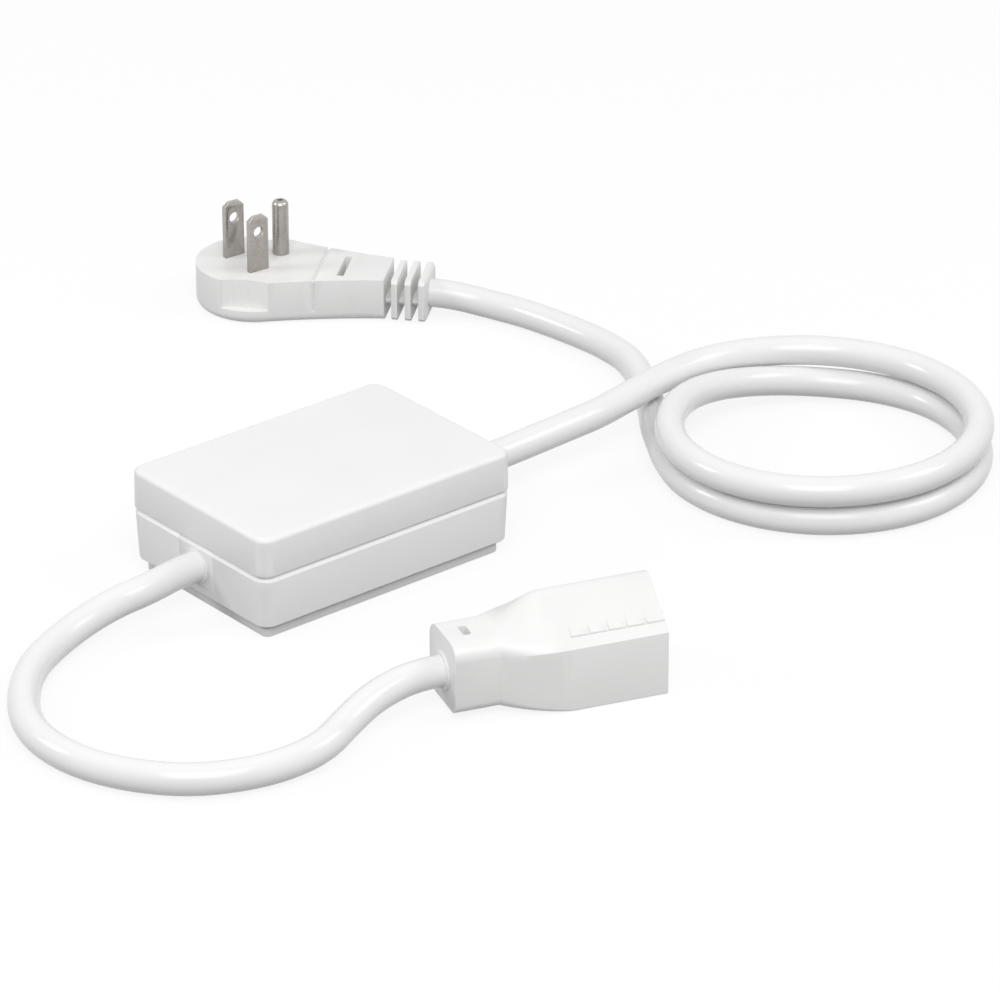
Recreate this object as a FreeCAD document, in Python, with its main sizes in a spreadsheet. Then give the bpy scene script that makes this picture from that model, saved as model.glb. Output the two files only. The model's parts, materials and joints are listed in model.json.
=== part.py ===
# Lighting control module: a wall box in two moulded shells on a base plate, with a line cord that
# ends in a flat three-pin plug and an output cord that ends in a receptacle.
# Millimetres. The origin is the middle of the base plate's underside, +X points along the box
# towards the line cord, +Z is up.
import FreeCAD, Part
import Sketcher
import math
import os
import re

vector = FreeCAD.Vector
doc = FreeCAD.newDocument("lighting_control_module")
sheet = doc.addObject("Spreadsheet::Sheet", "Sizes")

# Driving dimensions, in millimetres and degrees
SIZES = {
    # box outside
    "box_length": 82.5,
    "box_width": 56.8,
    "box_height": 29.1,
    "box_corner": 3.8,
    "seam_height": 18.4,
    "upper_inset": 0.05,
    "upper_slope": 0.9,
    "lower_slope": 3.0,
    "top_round": 1.45,
    "bevel_width": 1.2,
    "bevel_drop": 1.5,
    "underside_round": 0.5,
    # base plate and the recess above it
    "base_length": 77.0,
    "base_width": 51.2,
    "base_thick": 2.4,
    "base_corner": 2.0,
    "recess_height": 1.3,
    "plinth_length": 72.0,
    "plinth_width": 46.0,
    # walls
    "shell_wall": 2.8,
    "floor_thick": 2.4,
    "inner_corner": 1.5,
    "tongue_thick": 0.9,
    "tongue_depth": 1.6,
    "fit_gap": 0.1,
    # how far a cut runs on past the solid that it cuts
    "overrun": 1.0,
    # case screws, four
    "screw_spread": 69.2,
    "screw_reach": 43.8,
    "post_radius": 3.4,
    "screw_hole": 3.4,
    "screw_head": 6.2,
    "pilot_hole": 2.5,
    "pilot_depth": 6.0,
    # cord bushings
    "cord_width": 8.2,
    "cord_height": 11.5,
    "bushing_width": 14.0,
    "flange_width": 18.0,
    "flange_thick": 2.0,
    "flange_top": 17.6,
    "sleeve_radius": 5.2,
    "sleeve_length": 6.0,
    "collar_radius": 4.6,
    "collar_reach": 0.25,
    # circuit board
    "board_clearance": 0.45,
    "board_width": 44.0,
    "board_thick": 1.6,
    "board_lift": 3.0,
    "board_post": 2.2,
    "board_hole": 2.2,
    "board_hole_inset_x": 3.0,
    "board_hole_inset_y": 2.5,
    # terminals and inner wires
    "terminal_inset": 6.0,
    "terminal_depth": 7.5,
    "terminal_width": 12.0,
    "terminal_tall": 9.0,
    "terminal_well": 2.6,
    "terminal_well_depth": 3.0,
    "wire_width": 2.4,
    "wire_pitch": 3.3,
    "wire_lift": 1.7,
    # relay
    "relay_length": 29.0,
    "relay_width": 13.0,
    "relay_place": 14.8,
    "relay_base_thick": 1.8,
    "relay_headroom": 1.1,
    "relay_cover_wall": 0.8,
    "yoke_start": 1.6,
    "yoke_thick": 1.4,
    "yoke_foot": 1.1,
    "yoke_width": 9.0,
    "yoke_headroom": 3.9,
    "coil_radius": 5.1,
    "coil_gap": 0.4,
    "coil_inset": 2.0,
    "bobbin_flange": 0.7,
    "bobbin_tube": 2.9,
    "winding_radius": 4.8,
    "core_radius": 2.1,
    "core_fit": 0.05,
    "pole_radius": 3.2,
    "pole_thick": 0.85,
    "armature_angle": 3.0,
    "armature_width": 8.5,
    "armature_thick": 1.0,
    "armature_reach": 11.0,
    "armature_heel": 0.4,
    "pivot_gap": 0.05,
    "spring_start": 4.0,
    "spring_end": 21.5,
    "spring_width": 5.0,
    "spring_thick": 0.3,
    "contact_place": 19.5,
    "contact_radius": 1.4,
    "contact_head": 1.0,
    "contact_thick": 0.6,
    "contact_dome": 0.4,
    "contact_gap": 0.1,
    "post_thick": 0.8,
    # supply transformer
    "core_length": 22.0,
    "supply_headroom": 1.6,
    "core_depth": 7.0,
    "core_leg": 6.0,
    "core_yoke": 2.5,
    "window_width": 5.0,
    "winding_depth": 14.0,
    "winding_clear": 0.2,
    "supply_place": -11.5,
    # small components
    "storage_radius": 4.9,
    "storage_tall": 12.0,
    "storage_x": -21.5,
    "storage_y": -14.5,
    "filter_length": 12.5,
    "filter_width": 6.0,
    "filter_tall": 11.0,
    "filter_clearance": 1.45,
    "filter_y": 12.5,
    "varistor_radius": 5.0,
    "varistor_thick": 4.0,
    "varistor_x": -21.0,
    "varistor_y": 13.5,
    "fuse_length": 20.0,
    "fuse_radius": 2.2,
    "fuse_cap_radius": 2.6,
    "fuse_cap_length": 5.0,
    "fuse_y": 2.0,
    "receiver_length": 12.0,
    "receiver_width": 10.0,
    "receiver_thick": 1.0,
    "receiver_lift": 2.5,
    "receiver_x": 20.5,
    "receiver_y": -14.5,
    "header_width": 2.5,
    "shield_length": 8.0,
    "shield_width": 6.0,
    "shield_tall": 1.8,
    # plug: its round head's middle, turn about the vertical, and body
    "plug_x": 86.69,
    "plug_y": 140.55,
    "plug_turn": -49.83,
    "plug_thick": 12.7,
    "head_radius": 17.1,
    "shoulder_x": 7.0,
    "flank_radius": 180.0,
    "neck_x": 38.7,
    "neck_half": 8.0,
    "plug_edge": 2.5,
    "scoop_radius": 20.7,
    "scoop_floor": 4.1,
    "groove_x": 19.0,
    "groove_width": 1.0,
    "groove_depth": 0.5,
    "flank_sag": 0.5,
    "groove_floor": 3.4,
    "pocket_x": 25.9,
    "pocket_length": 2.0,
    "pocket_width": 13.6,
    "pocket_depth": 1.6,
    "rib_start": 40.85,
    "rib_thick": 1.7,
    "rib_pitch": 3.9,
    "rib_half": 8.0,
    "rib_floor": 0.35,
    "rib_corner": 1.0,
    "rib_core": 4.6,
    "tip_length": 0.5,
    "tip_half": 7.1,
    # plug prongs, standard spacing
    "prong_middle": 2.3,
    "prong_turn": 45.0,
    "blade_spacing": 12.7,
    "blade_width": 6.35,
    "blade_thick": 1.52,
    "blade_reach": 17.0,
    "blade_chamfer": 1.6,
    "blade_bevel": 0.45,
    "blade_bevel_height": 1.2,
    "blade_hole": 3.2,
    "blade_hole_height": 11.9,
    "prong_seat": 5.0,
    "seat_gap": 0.05,
    "pin_place": 11.9,
    "pin_radius": 2.38,
    "pin_reach": 16.5,
    "pin_shank": 2.0,
    "pin_bore": 0.8,
    "pin_bore_depth": 4.0,
    # receptacle: middle of its rear face, turn, and sections
    "outlet_x": -26.83,
    "outlet_y": -81.98,
    "outlet_turn": -18.6,
    "outlet_cord_height": 10.0,
    "outlet_length": 54.5,
    "rear_length": 12.0,
    "flare_end": 29.0,
    "rear_half": 9.2,
    "rear_bottom": 1.5,
    "rear_wall_top": 15.7,
    "rear_shoulder_half": 4.8,
    "rear_shoulder_top": 20.1,
    "rear_ridge_half": 2.0,
    "rear_ridge_top": 20.15,
    "front_half": 14.4,
    "front_wall_top": 17.2,
    "front_shoulder_half": 11.75,
    "front_shoulder_top": 19.65,
    "front_ridge_half": 1.95,
    "front_ridge_top": 26.8,
    "rear_shoulder_sag": 0.207,
    "front_shoulder_sag": 0.02,
    "rear_ridge_sag": 0.02,
    "front_ridge_sag": 0.325,
    "rear_under_round": 2.8,
    "front_under_round": 0.4,
    "spread_power": 2.2,
    "rise_speed": 1.24,
    "rise_power": 0.85,
    "ledge_step": 0.55,
    "notch_inner": 8.3,
    "notch_start": 0.3,
    "notch_pitch": 5.05,
    "notch_width": 0.5,
    "notch_depth": 0.45,
    "hang_hole_x": 5.7,
    "hang_hole_length": 5.0,
    "hang_hole_width": 2.2,
    "hang_hole_corner": 1.0,
    "hang_hole_depth": 2.5,
    "outlet_collar": 5.0,
    "outlet_collar_reach": 0.6,
    # receptacle openings and contacts
    "outlet_face_wall": 2.0,
    "slot_height": 8.4,
    "slot_tall": 7.4,
    "slot_wide": 2.1,
    "cavity_tall": 9.0,
    "cavity_wide": 4.6,
    "cavity_depth": 18.0,
    "clip_thick": 0.7,
    "clip_tall": 7.0,
    "earth_hole_radius": 2.55,
    "earth_cavity_radius": 3.3,
    "earth_clip_radius": 3.1,
    "earth_clip_bore": 2.55,
    # line cord coil
    "coil_x": 137.2,
    "coil_y": -40.1,
    "loop_radius": 43.7,
    "loop_floor": 4.2,
    "loop_rise": 8.75,
    "coil_start": 110.0,
    "coil_end": -572.0,
    "flare_from": 20.0,
    "flare_full": 97.0,
    "flare_width": 3.8,
    "draw_in": 6.2,
    "draw_middle": -258.0,
    "draw_half": 111.0,
    "close_from": -434.0,
    "close_in": 3.1,
    "climb_from": -224.0,
    "climb_to": -332.0,
}


def write_sizes():
    for row, (name, value) in enumerate(SIZES.items(), start=1):
        sheet.set(f"A{row}", name)
        sheet.set(f"B{row}", str(value))
        sheet.setAlias(f"B{row}", name)
    doc.recompute()


def bound(text):
    """The text of a size, with each name in it pointed at its cell."""
    return re.sub(r"[a-z_]+", lambda word: f"Sizes.{word[0]}" if word[0] in SIZES else word[0], str(text))


def value(text):
    return float(sheet.evalExpression(bound(text)))


def drive(item, **properties):
    """Ties properties of an object to the sheet; a double underscore stands for a dot."""
    for name, text in properties.items():
        item.setExpression(name.replace("__", "."), bound(text))


def place(item, x="0", y="0", z="0", turn=None):
    if turn is not None:
        item.Placement.Rotation = FreeCAD.Rotation(vector(0, 0, 1), 1)
        drive(item, Placement__Rotation__Angle=turn)
    drive(item, Placement__Base__x=x, Placement__Base__y=y, Placement__Base__z=z)
    return item


def smooth(share):
    """Eases in and out between 0 and 1."""
    share = min(max(share, 0.0), 1.0)
    return share * share * (3 - 2 * share)


# Part design helpers
def new_body(label):
    body = doc.addObject("PartDesign::Body", label)
    body.Label = label
    return body


def new_sketch(body, name, role, offset="0"):
    plane = next(item for item in body.Origin.OriginFeatures if item.Role == role)
    sketch = body.newObject("Sketcher::SketchObject", f"{body.Name}_{name}")
    sketch.AttachmentSupport = [(plane, "")]
    sketch.MapMode = "FlatFace"
    drive(sketch, AttachmentOffset__Base__z=offset)
    return sketch


def arc_middle(start, end, radius, side):
    """The middle of an arc that bulges to the right of the line from start to end for side 1."""
    half = (end - start) * 0.5
    across = vector(half.y, -half.x, 0).normalize()
    sag = radius - math.sqrt(max(radius * radius - half.Length ** 2, 0))
    return start + half + across * sag * side


def outline(sketch, points):
    """A closed outline through points (x, y), or (x, y, radius, side) where an arc starts."""
    places = [vector(value(point[0]), value(point[1]), 0) for point in points]
    first = sketch.GeometryCount
    for index, point in enumerate(points):
        start = places[index]
        end = places[(index + 1) % len(places)]
        if len(point) == 2:
            sketch.addGeometry(Part.LineSegment(start, end))
            continue
        middle = arc_middle(start, end, value(point[2]), point[3])
        if point[3] > 0:
            sketch.addGeometry(Part.Arc(start, middle, end))
        else:
            sketch.addGeometry(Part.Arc(end, middle, start))

    def ends(index):
        """The numbers of a piece's near and far end; an arc that bulges inward is drawn backwards."""
        inward = len(points[index]) == 4 and points[index][3] < 0
        return (2, 1) if inward else (1, 2)

    for index, point in enumerate(points):
        following = (index + 1) % len(points)
        here = first + index
        start_end, far_end = ends(index)
        sketch.addConstraint(
            Sketcher.Constraint("Coincident", here, far_end, first + following, ends(following)[0])
        )
        for axis, coordinate in (("DistanceX", 0), ("DistanceY", 1)):
            distance = places[index][coordinate]
            number = sketch.addConstraint(Sketcher.Constraint(axis, -1, 1, here, start_end, distance))
            sketch.setExpression(f"Constraints[{number}]", bound(point[coordinate]))
        if len(point) == 4:
            number = sketch.addConstraint(Sketcher.Constraint("Radius", here, value(point[2])))
            sketch.setExpression(f"Constraints[{number}]", bound(point[2]))


def circle(sketch, x, y, radius):
    middle = vector(value(x), value(y), 0)
    here = sketch.addGeometry(Part.Circle(middle, vector(0, 0, 1), value(radius)))
    for axis, coordinate, text in (("DistanceX", 0, x), ("DistanceY", 1, y)):
        number = sketch.addConstraint(Sketcher.Constraint(axis, -1, 1, here, 3, middle[coordinate]))
        sketch.setExpression(f"Constraints[{number}]", bound(text))
    number = sketch.addConstraint(Sketcher.Constraint("Radius", here, value(radius)))
    sketch.setExpression(f"Constraints[{number}]", bound(radius))


def rectangle(sketch, low_x, high_x, low_y, high_y):
    outline(sketch, [(low_x, low_y), (high_x, low_y), (high_x, high_y), (low_x, high_y)])


def turned_rectangle(sketch, x, y, along, across, turn):
    """A rectangle about (x, y) whose long side points at the angle turn."""
    corners = []
    for end, side in ((-1, -1), (1, -1), (1, 1), (-1, 1)):
        reach = f"{end} * ({along}) / 2"
        step = f"{side} * ({across}) / 2"
        corner_x = f"({x}) + ({reach}) * cos({turn}) - ({step}) * sin({turn})"
        corner_y = f"({y}) + ({reach}) * sin({turn}) + ({step}) * cos({turn})"
        corners.append((corner_x, corner_y))
    outline(sketch, corners)


def rounded_rectangle(sketch, half_x, half_y, corner, middle="0"):
    """A rectangle with round corners, about a point on the sketch's first axis."""
    flat_x = f"(({half_x}) - ({corner}))"
    flat_y = f"({half_y}) - ({corner})"
    outline(sketch, [
        (f"{middle} - {flat_x}", f"-({half_y})"),
        (f"{middle} + {flat_x}", f"-({half_y})", corner, 1),
        (f"{middle} + ({half_x})", f"-({flat_y})"),
        (f"{middle} + ({half_x})", flat_y, corner, 1),
        (f"{middle} + {flat_x}", half_y),
        (f"{middle} - {flat_x}", half_y, corner, 1),
        (f"{middle} - ({half_x})", flat_y),
        (f"{middle} - ({half_x})", f"-({flat_y})", corner, 1),
    ])


def at_four_corners(spread, reach):
    return [(f"{x} * {spread} / 2", f"{y} * {reach} / 2") for x in (-1, 1) for y in (-1, 1)]


def pad(sketch, name, length, backwards=False, centred=False):
    body = sketch.getParentGeoFeatureGroup()
    feature = body.newObject("PartDesign::Pad", f"{body.Name}_{name}")
    feature.Profile = sketch
    feature.Reversed = backwards
    feature.Midplane = centred
    drive(feature, Length=length)
    doc.recompute()
    return feature


def pocket(sketch, name, length, backwards=False, centred=False):
    """Cuts against the sketch's normal, or along it when backwards, and makes sure that it cuts."""
    body = sketch.getParentGeoFeatureGroup()
    before = body.Shape.Volume
    feature = body.newObject("PartDesign::Pocket", f"{body.Name}_{name}")
    feature.Profile = sketch
    feature.Reversed = backwards
    feature.Midplane = centred
    drive(feature, Length=length)
    doc.recompute()
    if not body.Shape.Volume < before:
        raise ValueError(f"{feature.Name} cuts nothing")
    return feature


def loft(body, name, sketches, ruled=True):
    feature = body.newObject("PartDesign::AdditiveLoft", f"{body.Name}_{name}")
    feature.Profile = sketches[0]
    feature.Sections = sketches[1:]
    feature.Ruled = ruled
    doc.recompute()
    return feature


def soften(body, name, kind, test, **sizes):
    """A fillet or chamfer on the edges of the body for which the test holds."""
    base = body.Tip
    chosen = [f"Edge{number}" for number, edge in enumerate(base.Shape.Edges, start=1) if test(edge)]
    if not chosen:
        raise ValueError(f"{name} finds no edge")
    feature = body.newObject(f"PartDesign::{kind}", f"{body.Name}_{name}")
    feature.Base = (base, chosen)
    drive(feature, **sizes)
    doc.recompute()
    return feature


def bevel_edges(body, name, test, size, second, is_right):
    """A chamfer with two sizes, turned round where the measure is_right says so."""
    feature = soften(body, name, "Chamfer", test, Size=size)
    feature.ChamferType = "Two distances"
    drive(feature, Size2=second)
    doc.recompute()
    if not is_right(feature):
        feature.FlipDirection = True
        doc.recompute()
    if not is_right(feature):
        raise ValueError(f"{feature.Name} lies wrong")
    return feature


def level_edge(edge, height):
    box = edge.BoundBox
    return abs(box.ZMin - height) < 1e-4 and abs(box.ZMax - height) < 1e-4


# Primitive helpers
def block(name, low, size):
    """A box from its lowest corner and its three sizes."""
    item = doc.addObject("Part::Box", name)
    drive(item, Length=size[0], Width=size[1], Height=size[2])
    return place(item, *low)


def rod(name, middle, radius, length, axis=(0, 0, 1)):
    item = doc.addObject("Part::Cylinder", name)
    item.Placement.Rotation = FreeCAD.Rotation(vector(0, 0, 1), vector(*axis))
    drive(item, Radius=radius, Height=length)
    return place(item, *middle)


def joined(label, pieces):
    item = doc.addObject("Part::MultiFuse", label)
    item.Shapes = pieces
    item.Refine = True
    return item


def without(label, base, tool):
    item = doc.addObject("Part::Cut", label)
    item.Base = base
    item.Tool = tool
    return item


# Derived sizes, as text for the sheet
lower_start = "(base_thick + recess_height)"
floor_top = f"({lower_start} + floor_thick)"
bevel_start = "(seam_height - bevel_drop)"
ceiling = "(box_height - shell_wall)"
inner_half_x = "(box_length / 2 - shell_wall)"
inner_half_y = "(box_width / 2 - shell_wall)"
board_bottom = f"({floor_top} + board_lift)"
board_top = f"({board_bottom} + board_thick)"
bushing_inner = f"({inner_half_x} - flange_thick - sleeve_length)"
board_half_x = f"({bushing_inner} - board_clearance)"
board_hole_spread = f"(2 * ({board_half_x} - board_hole_inset_x))"
board_hole_reach = "(board_width - 2 * board_hole_inset_y)"
terminal_face = f"({board_half_x} - terminal_inset)"


# Box
def leaning_block(body, start, half_x, half_y, tall, slope):
    """A block with round corners whose walls lean outward by a slope, or inward below zero."""
    face = new_sketch(body, "foot", "XY_Plane", start)
    rounded_rectangle(face, half_x, half_y, "box_corner")
    feature = pad(face, "outside", tall)
    drive(feature, TaperAngle=slope)
    doc.recompute()


def lower_outside(body):
    """The outside of the lower shell: leaning walls, then the bevel along the seam."""
    lean = f"({bevel_start} - {lower_start}) * tan(lower_slope)"
    half_x = f"box_length / 2 - {lean}"
    half_y = f"box_width / 2 - {lean}"
    leaning_block(body, lower_start, half_x, half_y, f"seam_height - {lower_start}", "lower_slope")
    rise = "bevel_drop * tan(lower_slope)"
    seam = value("seam_height")

    def narrow_rim(bevel):
        rim = [edge for edge in bevel.Shape.Edges if level_edge(edge, seam)]
        reach = max(edge.BoundBox.XMax for edge in rim)
        return abs(reach - value(f"box_length / 2 + {rise} - bevel_width")) < 1e-3

    def at_seam(edge):
        return level_edge(edge, seam)

    bevel_edges(body, "seam_bevel", at_seam, "bevel_width", "bevel_drop", narrow_rim)


def make_upper_shell():
    body = new_body("upper_shell")
    half_x = "box_length / 2 - upper_inset"
    half_y = "box_width / 2 - upper_inset"
    leaning_block(body, "seam_height", half_x, half_y, "box_height - seam_height", "-upper_slope")
    top = value("box_height")
    soften(body, "top_edge", "Fillet", lambda edge: level_edge(edge, top), Radius="top_round")

    tongue = new_sketch(body, "tongue", "XY_Plane", "seam_height")
    half_x = f"{inner_half_x} + tongue_thick"
    half_y = f"{inner_half_y} + tongue_thick"
    rounded_rectangle(tongue, half_x, half_y, "inner_corner + tongue_thick")
    pad(tongue, "tongue_pad", "tongue_depth", backwards=True)

    inside = new_sketch(body, "inside", "XY_Plane", "seam_height - tongue_depth")
    rounded_rectangle(inside, inner_half_x, inner_half_y, "inner_corner")
    pocket(inside, "hollow", f"{ceiling} - seam_height + tongue_depth", backwards=True)

    gaps = new_sketch(body, "gaps", "XY_Plane", "seam_height")
    gap_half = "(bushing_width / 2 + fit_gap)"
    for side in (-1, 1):
        near = f"{side} * ({inner_half_x} - overrun)"
        far = f"{side} * ({inner_half_x} + tongue_thick + overrun)"
        low, high = (near, far) if side > 0 else (far, near)
        rectangle(gaps, low, high, f"-{gap_half}", gap_half)
    pocket(gaps, "tongue_gaps", "tongue_depth")

    posts = new_sketch(body, "posts", "XY_Plane", "seam_height")
    pilots = new_sketch(body, "pilots", "XY_Plane", "seam_height")
    for x, y in at_four_corners("screw_spread", "screw_reach"):
        circle(posts, x, y, "post_radius")
        circle(pilots, x, y, "pilot_hole / 2")
    pad(posts, "post_pad", f"{ceiling} - seam_height")
    pocket(pilots, "pilot_holes", "pilot_depth", backwards=True)
    return body


def make_lower_shell():
    body = new_body("lower_shell")
    lower_outside(body)
    bottom = value(lower_start)
    soften(body, "bottom_edge", "Fillet", lambda edge: level_edge(edge, bottom), Radius="underside_round")

    plinth = new_sketch(body, "plinth", "XY_Plane", "base_thick")
    rounded_rectangle(plinth, "plinth_length / 2", "plinth_width / 2", "base_corner")
    pad(plinth, "plinth_pad", "recess_height")

    inside = new_sketch(body, "inside", "XY_Plane", "seam_height")
    rounded_rectangle(inside, inner_half_x, inner_half_y, "inner_corner")
    pocket(inside, "hollow", f"seam_height - {floor_top}")

    step = new_sketch(body, "step", "XY_Plane", "seam_height")
    step_x = f"{inner_half_x} + tongue_thick + fit_gap"
    step_y = f"{inner_half_y} + tongue_thick + fit_gap"
    rounded_rectangle(step, step_x, step_y, "inner_corner + tongue_thick + fit_gap")
    pocket(step, "tongue_step", "tongue_depth + fit_gap")

    slots = new_sketch(body, "slots", "XY_Plane", "seam_height")
    for side in (-1, 1):
        near = f"{side} * ({inner_half_x} - overrun)"
        far = f"{side} * (box_length / 2 + overrun)"
        low, high = (near, far) if side > 0 else (far, near)
        rectangle(slots, low, high, "-bushing_width / 2", "bushing_width / 2")
    pocket(slots, "bushing_slots", f"seam_height - {floor_top}")

    posts = new_sketch(body, "posts", "XY_Plane", floor_top)
    holes = new_sketch(body, "holes", "XY_Plane", "seam_height")
    for x, y in at_four_corners("screw_spread", "screw_reach"):
        circle(posts, x, y, "post_radius")
        circle(holes, x, y, "screw_hole / 2")
    pad(posts, "screw_posts", f"seam_height - {floor_top}")
    stands = new_sketch(body, "stands", "XY_Plane", floor_top)
    for x, y in at_four_corners(board_hole_spread, board_hole_reach):
        circle(stands, x, y, "board_post")
    pad(stands, "board_stands", "board_lift")
    pocket(holes, "screw_holes", "seam_height - base_thick")
    return body


def make_base_plate():
    body = new_body("base_plate")
    face = new_sketch(body, "face", "XY_Plane")
    rounded_rectangle(face, "base_length / 2", "base_width / 2", "base_corner")
    pad(face, "plate", "base_thick")
    holes = new_sketch(body, "holes", "XY_Plane", "base_thick")
    for x, y in at_four_corners("screw_spread", "screw_reach"):
        circle(holes, x, y, "screw_hole / 2")
    pocket(holes, "screw_holes", "base_thick")

    def hole_mouth(edge):
        return level_edge(edge, 0) and edge.isClosed()

    sink = "(screw_head - screw_hole) / 2"
    soften(body, "countersinks", "Chamfer", hole_mouth, Size=sink)
    return body


def make_bushing(label, side):
    """A cord bushing: its face is flush with the lower shell's wall, seam bevel included."""
    body = new_body(label)
    lower_outside(body)
    inner = f"{side} * {inner_half_x}"
    outer = f"{side} * (box_length / 2 + overrun)"
    low, high = (inner, outer) if side > 0 else (outer, inner)
    edge_x = "(box_length / 2 + 2 * overrun)"
    edge_y = "(box_width / 2 + 2 * overrun)"
    waste = new_sketch(body, "waste", "XY_Plane", "seam_height")
    rectangle(waste, f"-{edge_x}", edge_x, f"-{edge_y}", edge_y)
    rectangle(waste, low, high, "-bushing_width / 2", "bushing_width / 2")
    pocket(waste, "footprint", "seam_height")
    below = new_sketch(body, "below", "XY_Plane", floor_top)
    rectangle(below, f"-{edge_x}", edge_x, f"-{edge_y}", edge_y)
    pocket(below, "underside", f"{floor_top}")

    flange = new_sketch(body, "flange", "YZ_Plane", inner)
    rectangle(flange, "-flange_width / 2", "flange_width / 2", floor_top, "flange_top")
    pad(flange, "flange_pad", "flange_thick", backwards=side > 0)
    sleeve = new_sketch(body, "sleeve", "YZ_Plane", f"{side} * ({inner_half_x} - flange_thick)")
    circle(sleeve, "0", "cord_height", "sleeve_radius")
    pad(sleeve, "sleeve_pad", "sleeve_length", backwards=side > 0)
    collar = new_sketch(body, "collar", "YZ_Plane", f"{side} * (box_length / 2 + collar_reach)")
    circle(collar, "0", "cord_height", "collar_radius")
    pad(collar, "collar_pad", "shell_wall / 2", backwards=side > 0)
    return body


# Inside the box
def make_circuit_board():
    body = new_body("circuit_board")
    face = new_sketch(body, "face", "XY_Plane", board_bottom)
    rectangle(face, f"-{board_half_x}", board_half_x, "-board_width / 2", "board_width / 2")
    for x, y in at_four_corners(board_hole_spread, board_hole_reach):
        circle(face, x, y, "board_hole / 2")
    pad(face, "board", "board_thick")
    return body


def make_terminal(label, side):
    middle_x = f"{side} * ({terminal_face} - terminal_depth / 2)"
    low_x = f"{middle_x} - terminal_depth / 2"
    size = ("terminal_depth", "terminal_width", "terminal_tall")
    housing = block(f"{label}_housing", (low_x, "-terminal_width / 2", board_top), size)
    wells = []
    for row in (-1, 0, 1):
        middle = (middle_x, f"{row} * wire_pitch", f"{board_top} + terminal_tall - terminal_well_depth")
        wells.append(rod(f"{label}_well_{row + 2}", middle, "terminal_well / 2", "terminal_well_depth"))
    return without(label, housing, joined(f"{label}_wells", wells))


def make_wires(side, names):
    """Three insulated conductors from a bushing's sleeve to its terminal block."""
    length = f"{bushing_inner} - {terminal_face}"
    wires = []
    for row, name in enumerate(names, start=-1):
        middle = (f"{side} * {terminal_face}", f"{row} * wire_pitch", f"{board_top} + wire_lift")
        wires.append(rod(name, middle, "wire_width / 2", length, (side, 0, 0)))
    return wires


relay_start = "(-relay_length / 2)"
relay_floor = f"({board_top} + relay_base_thick)"
relay_cover_tall = f"({ceiling} - relay_headroom - {relay_floor})"
yoke_tall = f"({relay_cover_tall} - yoke_headroom)"
yoke_top = f"({relay_floor} + {yoke_tall})"
coil_tall = f"({yoke_tall} - coil_inset)"
coil_x = f"({relay_start} + yoke_start + yoke_thick + coil_gap + coil_radius)"
coil_floor = f"({relay_floor} + yoke_foot)"
pivot_x = f"({relay_start} + yoke_start + yoke_thick / 2)"
pivot_z = f"({yoke_top} - yoke_thick / 2)"
# how far above the pivot's axis the armature's underside lies
lift = "(yoke_thick / 2 + pivot_gap)"


def make_relay_housing():
    low_y = "relay_place - relay_width / 2"
    size = ("relay_length", "relay_width", "relay_base_thick")
    base = block("relay_base", (relay_start, low_y, board_top), size)
    size = ("relay_length", "relay_width", relay_cover_tall)
    outside = block("relay_cover_outside", (relay_start, low_y, relay_floor), size)
    low = (f"{relay_start} + relay_cover_wall", f"{low_y} + relay_cover_wall", relay_floor)
    size = (
        "relay_length - 2 * relay_cover_wall",
        "relay_width - 2 * relay_cover_wall",
        f"{relay_cover_tall} - relay_cover_wall",
    )
    cover = without("relay_cover", outside, block("relay_cover_inside", low, size))
    return [base, cover]


def make_relay_magnet():
    """The L-shaped yoke with its round top edge, the core with its pole face, and the coil on its bobbin."""
    low_y = "relay_place - yoke_width / 2"
    start = f"{relay_start} + yoke_start"
    foot_size = (f"{coil_x} + pole_radius - ({start})", "yoke_width", "yoke_foot")
    foot = block("relay_yoke_foot", (start, low_y, relay_floor), foot_size)
    leg_size = ("yoke_thick", "yoke_width", f"{yoke_tall} - yoke_thick / 2")
    leg = block("relay_yoke_leg", (start, low_y, relay_floor), leg_size)
    edge = rod("relay_yoke_edge", (pivot_x, low_y, pivot_z), "yoke_thick / 2", "yoke_width", (0, 1, 0))
    yoke = joined("relay_yoke", [foot, leg, edge])

    stem = rod("relay_core_stem", (coil_x, "relay_place", coil_floor), "core_radius", coil_tall)
    pole_middle = (coil_x, "relay_place", f"{coil_floor} + {coil_tall}")
    core = joined("relay_core", [stem, rod("relay_core_pole", pole_middle, "pole_radius", "pole_thick")])

    bobbin = new_body("relay_bobbin")
    profile = new_sketch(bobbin, "profile", "XZ_Plane")
    outline(profile, [
        ("core_radius + core_fit", "0"),
        ("coil_radius", "0"),
        ("coil_radius", "bobbin_flange"),
        ("bobbin_tube", "bobbin_flange"),
        ("bobbin_tube", f"{coil_tall} - bobbin_flange"),
        ("coil_radius", f"{coil_tall} - bobbin_flange"),
        ("coil_radius", coil_tall),
        ("core_radius + core_fit", coil_tall),
    ])
    winding = new_body("relay_winding")
    turns = new_sketch(winding, "turns", "XZ_Plane")
    rectangle(turns, "bobbin_tube", "winding_radius", "bobbin_flange", f"{coil_tall} - bobbin_flange")
    for body, sketch in ((bobbin, profile), (winding, turns)):
        feature = body.newObject("PartDesign::Revolution", f"{body.Name}_turn")
        feature.Profile = sketch
        feature.ReferenceAxis = (sketch, ["V_Axis"])
        feature.Angle = 360
        place(body, coil_x, "relay_place", coil_floor)
    return [yoke, core, bobbin, winding]


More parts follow.
